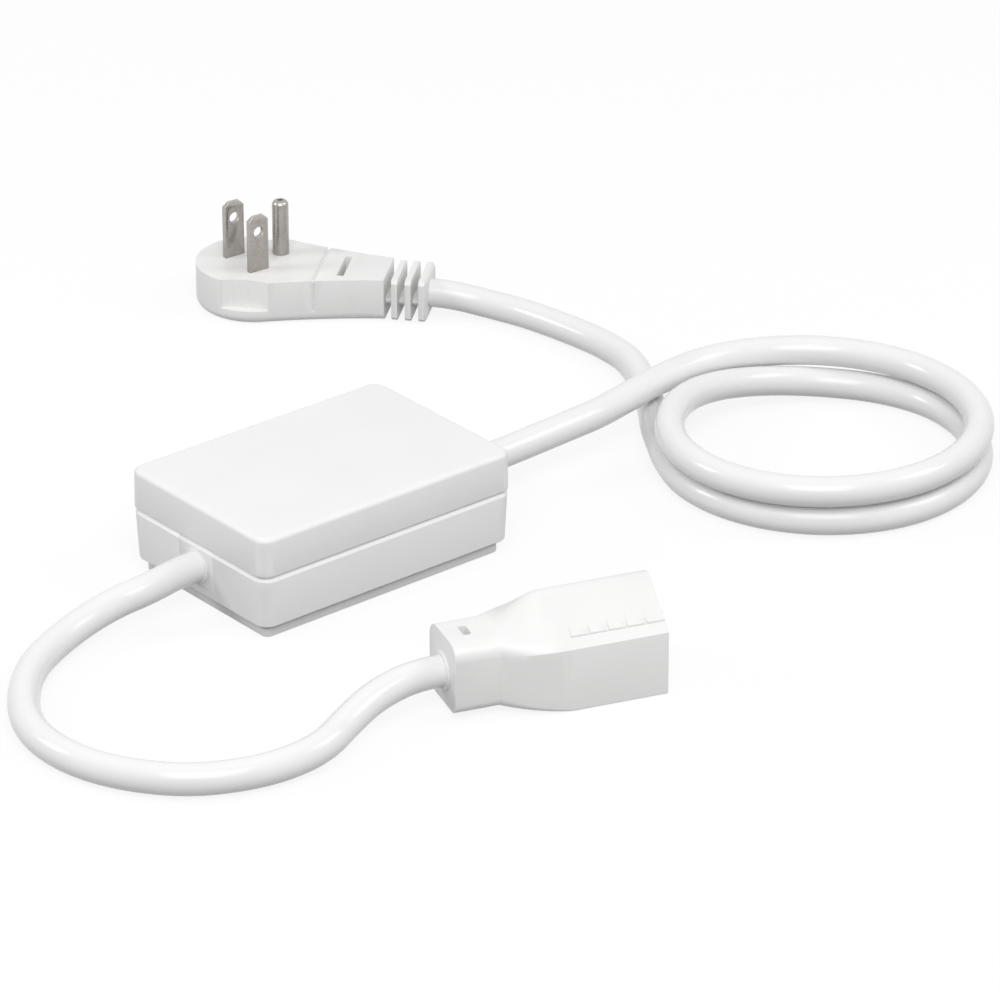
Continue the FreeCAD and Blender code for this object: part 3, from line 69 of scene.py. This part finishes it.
TOUCH = 5e-5  # how near a corner lies to the form that it belongs to

# Control points of the free cords, from the box or the plug outwards
LEAD_ROUTE = [(0.0593, 0.0002, 0.0115), (0.0871, 0.0001, 0.0128)]
TAIL_ROUTE = [
    (0.1306, 0.0879, 0.0042),
    (0.1343, 0.0760, 0.0042),
    (0.1366, 0.0605, 0.0042),
    (0.1376, 0.0470, 0.0042),
    (0.1356, 0.0315, 0.0042),
    (0.1200, 0.0065, 0.0042),
]
OUTPUT_ROUTE = [
    (-0.0470, 0.0, 0.0115),
    (-0.0555, 0.0004, 0.00975),
    (-0.0665, 0.0034, 0.0072),
    (-0.0830, 0.0014, 0.0045),
    (-0.1020, -0.0090, 0.0042),
    (-0.1180, -0.0316, 0.0042),
    (-0.1180, -0.0558, 0.0042),
    (-0.1051, -0.0769, 0.0042),
    (-0.0862, -0.0862, 0.0042),
    (-0.0700, -0.0880, 0.0054),
    (-0.0568, -0.0824, 0.0068),
    (-0.0463, -0.0798, 0.0089),
]
STRAIGHT_TO_COIL = 0.0177
STRAIGHT_FROM_COIL = 0.0120
STRAIGHT_AT_PLUG = 0.0055
STRAIGHT_AT_OUTLET = 0.0070

# The coil: turns about a middle, angles in degrees that fall along the cord
COIL_MIDDLE = Vector((0.1372, -0.0401, 0.0))
LOOP_RADIUS = 0.0437
LOOP_FLOOR = 0.0042
LOOP_RISE = 0.00875
COIL_START = 110.0
COIL_END = -572.0
COIL_POINTS = 33
FLARE_FROM = 20.0
FLARE_FULL = 97.0
FLARE_WIDTH = 0.0038
DRAW_IN = 0.0062
DRAW_MIDDLE = -258.0
DRAW_HALF = 111.0
CLOSE_FROM = -434.0
CLOSE_IN = 0.0031
CLIMB_FROM = -224.0
CLIMB_TO = -332.0


# Materials
NOISE_LOW = 0.3  # most noise lies between these two
NOISE_HIGH = 0.7
WAVE_UNIT = 20.0  # radians of a wave texture per metre, at scale 1
MOULD_GRAIN = 0.000004


def start_material(name, colour, roughness, metallic=0.0):
    """A material with its plain values on the shader, its node tree and its shader."""
    material = bpy.data.materials.new(name)
    material.use_nodes = True
    shader = material.node_tree.nodes["Principled BSDF"]
    shader.inputs["Base Color"].default_value = (*colour, 1.0)
    shader.inputs["Roughness"].default_value = roughness
    shader.inputs["Metallic"].default_value = metallic
    return material, material.node_tree, shader


def add_noise(tree, scale, detail=3.0, stretch=(1.0, 1.0, 1.0)):
    """Noise over the object's own coordinates; scale counts features per metre."""
    place = tree.nodes.new("ShaderNodeTexCoord")
    mapping = tree.nodes.new("ShaderNodeMapping")
    mapping.inputs["Scale"].default_value = stretch
    texture = tree.nodes.new("ShaderNodeTexNoise")
    texture.inputs["Scale"].default_value = scale
    texture.inputs["Detail"].default_value = detail
    tree.links.new(place.outputs["Object"], mapping.inputs["Vector"])
    tree.links.new(mapping.outputs["Vector"], texture.inputs["Vector"])
    return texture.outputs["Fac"]


def spread_colour(tree, shader, source, colour, spread):
    """Varies the colour by a share of itself each way."""
    ramp = tree.nodes.new("ShaderNodeValToRGB")
    for element, share in zip(ramp.color_ramp.elements, (1 - spread, 1 + spread)):
        element.color = (*(min(channel * share, 1.0) for channel in colour), 1.0)
    ramp.color_ramp.elements[0].position = NOISE_LOW
    ramp.color_ramp.elements[1].position = NOISE_HIGH
    tree.links.new(source, ramp.inputs["Fac"])
    tree.links.new(ramp.outputs["Color"], shader.inputs["Base Color"])


def spread_roughness(tree, shader, source, low, high):
    """Varies the roughness between the two values."""
    span = tree.nodes.new("ShaderNodeMapRange")
    span.inputs["From Min"].default_value = NOISE_LOW
    span.inputs["From Max"].default_value = NOISE_HIGH
    span.inputs["To Min"].default_value = low
    span.inputs["To Max"].default_value = high
    tree.links.new(source, span.inputs["Value"])
    tree.links.new(span.outputs["Result"], shader.inputs["Roughness"])


def add_bump(tree, shader, source, depth, below=None):
    """Bump of a real depth in metres, on top of another bump where one is given."""
    bump = tree.nodes.new("ShaderNodeBump")
    bump.inputs["Distance"].default_value = depth
    tree.links.new(source, bump.inputs["Height"])
    if below is not None:
        tree.links.new(below.outputs["Normal"], bump.inputs["Normal"])
    tree.links.new(bump.outputs["Normal"], shader.inputs["Normal"])
    return bump


def moulded_plastic(name, colour, roughness=0.42):
    """Satin moulded plastic: a fine even grain from the tool and faint cloudiness."""
    material, tree, shader = start_material(name, colour, roughness)
    spread_colour(tree, shader, add_noise(tree, 45.0), colour, 0.012)
    spread_roughness(tree, shader, add_noise(tree, 160.0), roughness - 0.04, roughness + 0.04)
    broad = add_bump(tree, shader, add_noise(tree, 70.0, detail=1.0), 0.00002)
    add_bump(tree, shader, add_noise(tree, 5200.0, detail=2.0), MOULD_GRAIN, broad)
    return material


def cord_jacket(name, colour):
    """Extruded soft plastic: a smooth soft gloss with slow waves along the jacket."""
    material, tree, shader = start_material(name, colour, 0.18)
    shader.inputs["Specular IOR Level"].default_value = 0.4
    spread_colour(tree, shader, add_noise(tree, 60.0), colour, 0.01)
    spread_roughness(tree, shader, add_noise(tree, 240.0), 0.15, 0.22)
    waves = add_bump(tree, shader, add_noise(tree, 110.0, detail=1.0), 0.00005)
    add_bump(tree, shader, add_noise(tree, 3800.0, detail=2.0), 0.000002, waves)
    return material


def plated_metal(name, colour, roughness=0.26, stretch=(1.0, 1.0, 0.03)):
    """Rolled and plated metal with fine lines along one direction."""
    material, tree, shader = start_material(name, colour, roughness, metallic=1.0)
    spread_colour(tree, shader, add_noise(tree, 900.0), colour, 0.06)
    lines = add_noise(tree, 9000.0, detail=2.0, stretch=stretch)
    spread_roughness(tree, shader, lines, roughness - 0.05, roughness + 0.08)
    add_bump(tree, shader, lines, 0.000004)
    return material


def add_bands(tree, pitch, direction, distortion=0.0):
    """Even bands, 2 pi times the pitch wide, across one direction of the object's own space."""
    place = tree.nodes.new("ShaderNodeTexCoord")
    wave = tree.nodes.new("ShaderNodeTexWave")
    wave.bands_direction = direction
    wave.inputs["Scale"].default_value = 1.0 / pitch / WAVE_UNIT
    wave.inputs["Distortion"].default_value = distortion
    tree.links.new(place.outputs["Object"], wave.inputs["Vector"])
    return wave.outputs["Fac"]


def wound_wire(name, colour, pitch):
    """Enamelled wire wound in even layers about a standing axis."""
    material, tree, shader = start_material(name, colour, 0.3, metallic=0.8)
    bands = add_bands(tree, pitch, "Z", distortion=0.4)
    spread_colour(tree, shader, bands, colour, 0.2)
    add_bump(tree, shader, bands, pitch / 6)
    return material


def stacked_sheets(name, colour, pitch):
    """Steel laminations stacked across the core."""
    material, tree, shader = start_material(name, colour, 0.45, metallic=0.9)
    bands = add_bands(tree, pitch, "Y")
    spread_colour(tree, shader, bands, colour, 0.15)
    add_bump(tree, shader, bands, pitch / 8)
    return material


def circuit_laminate(name, colour):
    """Board under a glossy mask, with the copper tracks faintly raised."""
    material, tree, shader = start_material(name, colour, 0.35)
    place = tree.nodes.new("ShaderNodeTexCoord")
    tracks = tree.nodes.new("ShaderNodeTexBrick")
    tracks.inputs["Scale"].default_value = 160.0
    tracks.inputs["Mortar Size"].default_value = 0.06
    tree.links.new(place.outputs["Object"], tracks.inputs["Vector"])
    spread_colour(tree, shader, tracks.outputs["Fac"], colour, 0.25)
    add_bump(tree, shader, tracks.outputs["Fac"], 0.00003)
    return material


def fuse_glass(name, colour):
    """The fuse's tube, half clear."""
    material, tree, shader = start_material(name, colour, 0.05)
    shader.inputs["Transmission Weight"].default_value = 0.6
    spread_roughness(tree, shader, add_noise(tree, 700.0), 0.03, 0.09)
    return material


WHITE = (0.80, 0.80, 0.80)
materials = {
    "shell_white": moulded_plastic("shell_white", WHITE),
    "base_white": moulded_plastic("base_white", (0.78, 0.78, 0.78), roughness=0.5),
    "bushing_white": moulded_plastic("bushing_white", (0.79, 0.79, 0.79), roughness=0.45),
    "plug_white": moulded_plastic("plug_white", (0.79, 0.79, 0.785), roughness=0.38),
    "cord_white": cord_jacket("cord_white", WHITE),
    "prong_nickel": plated_metal("prong_nickel", (0.42, 0.395, 0.37)),
    "contact_brass": plated_metal("contact_brass", (0.70, 0.52, 0.24)),
    "board_green": circuit_laminate("board_green", (0.02, 0.10, 0.04)),
    "terminal_green": moulded_plastic("terminal_green", (0.02, 0.15, 0.05)),
    "wire_black": moulded_plastic("wire_black", (0.02, 0.02, 0.02), roughness=0.3),
    "wire_green": moulded_plastic("wire_green", (0.02, 0.16, 0.04), roughness=0.3),
    "wire_white": moulded_plastic("wire_white", (0.72, 0.72, 0.70), roughness=0.3),
    "relay_black": moulded_plastic("relay_black", (0.02, 0.02, 0.025)),
    "relay_case": moulded_plastic("relay_case", (0.03, 0.035, 0.05)),
    "bobbin_white": moulded_plastic("bobbin_white", (0.62, 0.60, 0.52)),
    "magnet_iron": plated_metal("magnet_iron", (0.45, 0.45, 0.46), roughness=0.35),
    "lamination_steel": stacked_sheets("lamination_steel", (0.25, 0.25, 0.26), pitch=0.0005),
    "copper": wound_wire("copper", (0.65, 0.27, 0.13), pitch=0.00025),
    "winding_tape": moulded_plastic("winding_tape", (0.62, 0.45, 0.06), roughness=0.35),
    "capacitor_can": moulded_plastic("capacitor_can", (0.02, 0.025, 0.06), roughness=0.3),
    "film_yellow": moulded_plastic("film_yellow", (0.62, 0.42, 0.03)),
    "varistor_blue": moulded_plastic("varistor_blue", (0.03, 0.10, 0.42)),
    "fuse_glass": fuse_glass("fuse_glass", (0.75, 0.80, 0.80)),
    "shield_tin": plated_metal("shield_tin", (0.60, 0.60, 0.59), stretch=(0.03, 1.0, 1.0)),
    "screw_zinc": plated_metal("screw_zinc", (0.52, 0.52, 0.52), stretch=(1.0, 1.0, 1.0)),
}


# Pieces
WELD_WIDTH = 1e-6
FLAT_ANGLE = math.radians(0.05)
SHARP_ANGLE = math.radians(24.0)
UPWARD = 0.999  # least height of the normal of a face that looks up


def heading(turn):
    """A level direction, by its turn from the frame's X."""
    return Vector((math.cos(turn), math.sin(turn), 0.0))


def link_piece(name, mesh, look):
    """A piece of the main body, in the slot that bears its look's name."""
    piece = bpy.data.objects.new(name, mesh)
    bpy.context.scene.collection.objects.link(piece)
    piece.data.materials.append(materials[look])
    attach(piece, MAIN_BODY)
    return piece


def softened(node, look, edge_width):
    """The form of a solid with its hard edges rounded as a mould leaves them; stands for it."""
    work = bmesh.new()
    work.from_mesh(nodes[node].data)
    bmesh.ops.remove_doubles(work, verts=work.verts, dist=WELD_WIDTH)
    bmesh.ops.dissolve_limit(work, angle_limit=FLAT_ANGLE, verts=work.verts, edges=work.edges)
    mesh = bpy.data.meshes.new(f"{node}_form")
    work.to_mesh(mesh)
    work.free()
    for face in mesh.polygons:
        face.use_smooth = True
    piece = link_piece(f"{node}_form", mesh, look)
    rounding = piece.modifiers.new("rounding", "BEVEL")
    rounding.width = edge_width
    rounding.segments = 3
    rounding.limit_method = "ANGLE"
    rounding.angle_limit = SHARP_ANGLE
    rounding.harden_normals = True
    rounding.use_clamp_overlap = True
    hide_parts(node)
    return piece


def sink(piece, floor):
    """Lowers the flat floor of a blind opening, which lies in deep shade in the photograph."""
    lowered = set()
    for face in piece.data.polygons:
        if face.normal.z > UPWARD and abs(face.center.z - floor) < TOUCH:
            lowered.update(face.vertices)
    for index in lowered:
        piece.data.vertices[index].co.z -= EXTRA_DEPTH


def flatten_stem(piece):
    """Makes the plug's stem low and flat between its ribs, as the gaps show it."""
    along = heading(PLUG_TURN)
    for point in piece.data.vertices:
        place = point.co - PLUG_HEAD
        reach = place.dot(along)
        rise = place.z - PLUG_CORD_HEIGHT
        radius = math.hypot(place.cross(along).z, rise)
        if STEM_START < reach < PLUG_LENGTH and abs(radius - STEM_RADIUS) < TOUCH:
            point.co.z = STEM_MIDDLE + STEM_FLATNESS * rise


# Cords
def smooth(share):
    """Eases a share from 0 to 1, and holds it there outside."""
    share = min(max(share, 0.0), 1.0)
    return share * share * (3 - 2 * share)


def coil_point(angle):
    """The cord's middle at an angle, as the solid has it."""
    swell = max(angle - FLARE_FROM, 0.0) / (FLARE_FULL - FLARE_FROM)
    near = min(max((angle - DRAW_MIDDLE) / DRAW_HALF, -1.0), 1.0)
    radius = LOOP_RADIUS + FLARE_WIDTH * swell ** 2
    radius -= DRAW_IN * (1 + math.cos(math.pi * near)) / 2
    radius -= CLOSE_IN * smooth((CLOSE_FROM - angle) / (CLOSE_FROM - COIL_END))
    fallen = smooth((CLIMB_FROM - angle) / (CLIMB_FROM - CLIMB_TO))
    turn = math.radians(angle)
    height = LOOP_FLOOR + LOOP_RISE * (1 - fallen)
    return COIL_MIDDLE + Vector((radius * math.cos(turn), radius * math.sin(turn), height))


def coil_heading(angle):
    """Where the cord heads at an angle, from its start to its end."""
    step = 0.01
    return (coil_point(angle - step) - coil_point(angle + step)).normalized()


def coil_controls():
    """Control points of the turns, set out by what the spline cuts off its corners."""
    step = (COIL_START - COIL_END) / (COIL_POINTS - 1)
    outward = 1 / math.cos(math.radians(step / 2))
    points = []
    for index in range(1, COIL_POINTS - 1):
        spoke = coil_point(COIL_START - index * step) - COIL_MIDDLE
        points.append(COIL_MIDDLE + Vector((spoke.x * outward, spoke.y * outward, spoke.z)))
    return points


def coil_ends():
    """Where the coil begins and ends, one cord width beyond its turns, and its headings there."""
    first_heading = coil_heading(COIL_START)
    last_heading = coil_heading(COIL_END)
    begin = coil_point(COIL_START) - first_heading * CORD_WIDTH
    finish = coil_point(COIL_END) + last_heading * CORD_WIDTH
    return begin, first_heading, finish, last_heading


def line_cord_points():
    """From the box through the lead, the coil and the tail to the plug."""
    begin, begin_heading, finish, finish_heading = coil_ends()
    plug_height = Vector((0.0, 0.0, PLUG_CORD_HEIGHT))
    plug_end = PLUG_HEAD + plug_height + heading(PLUG_TURN) * PLUG_LENGTH
    points = [CORD_EXIT]
    points += [Vector(point) for point in LEAD_ROUTE]
    points += [begin - begin_heading * STRAIGHT_TO_COIL, begin, coil_point(COIL_START)]
    points += coil_controls()
    points += [coil_point(COIL_END), finish, finish + finish_heading * STRAIGHT_FROM_COIL]
    points += [Vector(point) for point in reversed(TAIL_ROUTE)]
    points += [plug_end + heading(PLUG_TURN) * STRAIGHT_AT_PLUG, plug_end]
    return points


def output_cord_points():
    """From the box through its loop to the receptacle."""
    inward = heading(OUTLET_TURN)
    outlet_end = OUTLET_REAR - inward * OUTLET_COLLAR_REACH
    points = [Vector((-CORD_EXIT.x, CORD_EXIT.y, CORD_EXIT.z))]
    points += [Vector(point) for point in OUTPUT_ROUTE]
    points += [outlet_end - inward * STRAIGHT_AT_OUTLET, outlet_end]
    return points


def make_cord(name, points):
    """One round tube along a smooth curve near the points."""
    curve = bpy.data.curves.new(name, "CURVE")
    curve.dimensions = "3D"
    curve.bevel_depth = CORD_WIDTH / 2
    curve.bevel_resolution = 10
    curve.use_fill_caps = True
    curve.resolution_u = 12
    spline = curve.splines.new("NURBS")
    spline.points.add(len(points) - 1)
    for target, point in zip(spline.points, points):
        target.co = (*point, 1.0)
    spline.order_u = 3
    spline.use_endpoint_u = True
    spline.use_smooth = True
    return link_piece(name, curve, "cord_white")


# Small fasteners
SCREW_SPREAD = 0.0692
SCREW_REACH = 0.0438
SCREW_HEAD_RADIUS = 0.0029
SCREW_SHANK_RADIUS = 0.0015
SCREW_HEAD_TALL = 0.0014
SCREW_RIM = 0.0002
SCREW_SUNK = 0.00015
SCREW_LENGTH = 0.0200
SCREW_SIDES = 48
RECESS_REACH = 0.0017
RECESS_NARROWING = 0.45
RECESS_WIDTH = 0.0006
RECESS_DEPTH = 0.0011
RECESS_OVERRUN = 0.0002


def screw_form():
    """A countersunk screw seen from below: its head's face at the foot, shank upwards."""
    profile = [
        (SCREW_HEAD_RADIUS, SCREW_SUNK),
        (SCREW_HEAD_RADIUS, SCREW_SUNK + SCREW_RIM),
        (SCREW_SHANK_RADIUS, SCREW_SUNK + SCREW_HEAD_TALL),
        (SCREW_SHANK_RADIUS, SCREW_LENGTH),
    ]
    work = bmesh.new()
    rings = []
    for radius, height in profile:
        ring = []
        for side in range(SCREW_SIDES):
            turn = 2 * math.pi * side / SCREW_SIDES
            corner = (radius * math.cos(turn), radius * math.sin(turn), height)
            ring.append(work.verts.new(corner))
        rings.append(ring)
    for low, high in zip(rings, rings[1:]):
        for side in range(SCREW_SIDES):
            after = (side + 1) % SCREW_SIDES
            work.faces.new((low[side], low[after], high[after], high[side]))
    work.faces.new(list(reversed(rings[0])))
    work.faces.new(rings[-1])
    mesh = bpy.data.meshes.new("case_screw")
    work.to_mesh(mesh)
    work.free()
    return mesh


def recess_cutter():
    """A cross whose arms narrow inwards, for the screw's drive recess."""
    work = bmesh.new()
    half = RECESS_WIDTH / 2
    mouth = (SCREW_SUNK - RECESS_OVERRUN, RECESS_REACH)
    foot = (SCREW_SUNK + RECESS_DEPTH, RECESS_REACH * RECESS_NARROWING)
    rings = []
    for height, arm in (mouth, foot):
        corners = [
            (half, half), (half, arm), (-half, arm), (-half, half),
            (-arm, half), (-arm, -half), (-half, -half), (-half, -arm),
            (half, -arm), (half, -half), (arm, -half), (arm, half),
        ]
        rings.append([work.verts.new((x, y, height)) for x, y in corners])
    low, high = rings
    count = len(low)
    for index in range(count):
        after = (index + 1) % count
        work.faces.new((low[index], high[index], high[after], low[after]))
    work.faces.new(low)
    work.faces.new(list(reversed(high)))
    bmesh.ops.recalc_face_normals(work, faces=work.faces)
    mesh = bpy.data.meshes.new("recess_cutter")
    work.to_mesh(mesh)
    work.free()
    return mesh


def make_screws():
    """The four case screws, each with its recess turned another way."""
    cutter = bpy.data.objects.new("recess_cutter", recess_cutter())
    bpy.context.scene.collection.objects.link(cutter)
    model = bpy.data.objects.new("screw_model", screw_form())
    bpy.context.scene.collection.objects.link(model)
    cut = model.modifiers.new("recess", "BOOLEAN")
    cut.operation = "DIFFERENCE"
    cut.solver = "EXACT"
    cut.object = cutter
    graph = bpy.context.evaluated_depsgraph_get()
    form = bpy.data.meshes.new_from_object(model.evaluated_get(graph))
    bpy.data.objects.remove(model)
    bpy.data.objects.remove(cutter)
    for x in (-1, 1):
        for y in (-1, 1):
            mesh = form.copy()
            turn = Matrix.Rotation(math.radians(35.0 + 50.0 * x + 20.0 * y), 4, "Z")
            shift = Matrix.Translation((x * SCREW_SPREAD / 2, y * SCREW_REACH / 2, 0.0))
            mesh.transform(shift @ turn)
            ends = ("left" if x < 0 else "right", "near" if y < 0 else "far")
            link_piece(f"case_screw_{ends[0]}_{ends[1]}", mesh, "screw_zinc")


# The object
slots = {part["node"]: part["material_slot"] for part in frame["record"]["subparts"]}
for node_name, node_object in nodes.items():
    node_object.data.materials.clear()
    node_object.data.materials.append(materials[slots[node_name]])

softened("upper_shell", "shell_white", 0.00025)
softened("lower_shell", "shell_white", 0.00025)
softened("base_plate", "base_white", 0.00030)
softened("line_cord_bushing", "bushing_white", 0.00018)
softened("output_cord_bushing", "bushing_white", 0.00018)
plug = softened("plug_body", "plug_white", 0.00018)
plug_metal = [
    softened("plug_blade_line", "prong_nickel", 0.00012),
    softened("plug_blade_neutral", "prong_nickel", 0.00012),
    softened("plug_ground_pin", "prong_nickel", 0.00012),
]
receptacle = softened("connector_body", "plug_white", 0.00015)
sink(plug, SLOT_FLOOR)
flatten_stem(plug)
sink(receptacle, HOLE_FLOOR)
make_screws()

line_cord = make_cord("line_cord", line_cord_points())
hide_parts("line_cord_lead", "line_cord_coil", "line_cord_tail")
output_cord = make_cord("output_cord_form", output_cord_points())
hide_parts("output_cord")


# Stage, light and camera
PURE_WHITE = (1.0, 1.0, 1.0, 1.0)
FLOOR_WHITE = (0.92, 0.92, 0.92)
FLOOR_SHED = (0.34, 0.34, 0.34, 1.0)  # what the floor throws back at the object
FLOOR_GLOW = 0.86  # share of pure white in the floor that shows; the rest keeps the shadow
FLOOR_HALF = 3.0
FLOOR_DROP = 0.0001
WORLD_LIGHT = 0.52
LAMP_AIM = Vector((0.03, 0.0, 0.0))
CAMERA_PLACE = (-0.811708, -1.043129, 0.672806)
CAMERA_TURN = math.radians(-39.888)
CAMERA_RISE = math.radians(26.395)
CAMERA_LENS = 204.79
SENSOR_WIDTH = 36.0


def seen_directly(tree):
    """1 for rays by which the camera, metal or glass sees something, 0 for shed light."""
    path = tree.nodes.new("ShaderNodeLightPath")
    seen = path.outputs["Is Camera Ray"]
    for kind in ("Is Glossy Ray", "Is Transmission Ray"):
        either = tree.nodes.new("ShaderNodeMath")
        either.operation = "MAXIMUM"
        tree.links.new(seen, either.inputs[0])
        tree.links.new(path.outputs[kind], either.inputs[1])
        seen = either.outputs["Value"]
    return seen


def stage_material():
    """A pale floor that shows as background white and keeps a soft shadow."""
    material, tree, shader = start_material("studio_white", FLOOR_WHITE, 0.9)
    glow = tree.nodes.new("ShaderNodeEmission")
    glow.inputs["Color"].default_value = PURE_WHITE
    glow.inputs["Strength"].default_value = 1.0
    shown = tree.nodes.new("ShaderNodeMixShader")
    shown.inputs["Fac"].default_value = FLOOR_GLOW
    tree.links.new(shader.outputs["BSDF"], shown.inputs[1])
    tree.links.new(glow.outputs["Emission"], shown.inputs[2])
    shed = tree.nodes.new("ShaderNodeBsdfDiffuse")
    shed.inputs["Color"].default_value = FLOOR_SHED
    mix = tree.nodes.new("ShaderNodeMixShader")
    tree.links.new(seen_directly(tree), mix.inputs["Fac"])
    tree.links.new(shed.outputs["BSDF"], mix.inputs[1])
    tree.links.new(shown.outputs["Shader"], mix.inputs[2])
    tree.links.new(mix.outputs["Shader"], tree.nodes["Material Output"].inputs["Surface"])
    return material


def make_stage():
    mesh = bpy.data.meshes.new("studio_floor")
    turns = ((-1, -1), (1, -1), (1, 1), (-1, 1))
    corners = [(x * FLOOR_HALF, y * FLOOR_HALF, 0.0) for x, y in turns]
    mesh.from_pydata(corners, [], [(0, 1, 2, 3)])
    mesh.materials.append(stage_material())
    floor = bpy.data.objects.new("studio_floor", mesh)
    floor.location.z = -FLOOR_DROP
    bpy.context.scene.collection.objects.link(floor)


def make_world():
    """Even light from all round, that shows as pure white."""
    world = bpy.data.worlds.new("studio")
    world.use_nodes = True
    tree = world.node_tree
    light = tree.nodes["Background"]
    light.inputs["Color"].default_value = PURE_WHITE
    light.inputs["Strength"].default_value = WORLD_LIGHT
    seen = tree.nodes.new("ShaderNodeBackground")
    seen.inputs["Color"].default_value = PURE_WHITE
    seen.inputs["Strength"].default_value = 1.0
    mix = tree.nodes.new("ShaderNodeMixShader")
    tree.links.new(seen_directly(tree), mix.inputs["Fac"])
    tree.links.new(light.outputs["Background"], mix.inputs[1])
    tree.links.new(seen.outputs["Background"], mix.inputs[2])
    tree.links.new(mix.outputs["Shader"], tree.nodes["World Output"].inputs["Surface"])
    bpy.context.scene.world = world


def add_lamp(name, place, size, power):
    """A square lamp, turned to the object's middle."""
    data = bpy.data.lights.new(name, "AREA")
    data.shape = "SQUARE"
    data.size = size
    data.energy = power
    lamp = bpy.data.objects.new(name, data)
    lamp.location = place
    lamp.rotation_mode = "QUATERNION"
    lamp.rotation_quaternion = (LAMP_AIM - Vector(place)).to_track_quat("-Z", "Y")
    bpy.context.scene.collection.objects.link(lamp)


def make_camera():
    """The camera that took the photograph, as its fit gave it."""
    data = bpy.data.cameras.new("camera")
    data.sensor_width = SENSOR_WIDTH
    data.lens = CAMERA_LENS
    data.clip_start = 0.05
    data.clip_end = 20.0
    camera = bpy.data.objects.new("camera", data)
    level = math.cos(CAMERA_RISE)
    back = Vector((
        math.sin(CAMERA_TURN) * level,
        -math.cos(CAMERA_TURN) * level,
        math.sin(CAMERA_RISE),
    ))
    camera.location = CAMERA_PLACE
    camera.rotation_mode = "QUATERNION"
    camera.rotation_quaternion = (-back).to_track_quat("-Z", "Y")
    bpy.context.scene.collection.objects.link(camera)
    bpy.context.scene.camera = camera


make_stage()
make_world()
add_lamp("front_light", (-0.60, -0.86, 1.20), size=1.0, power=13.8)
add_lamp("left_light", (-0.62, 0.56, 0.54), size=0.24, power=2.1)
add_lamp("right_light", (0.70, -0.58, 0.80), size=0.45, power=2.6)
make_camera()
bpy.context.scene.view_settings.view_transform = "Standard"
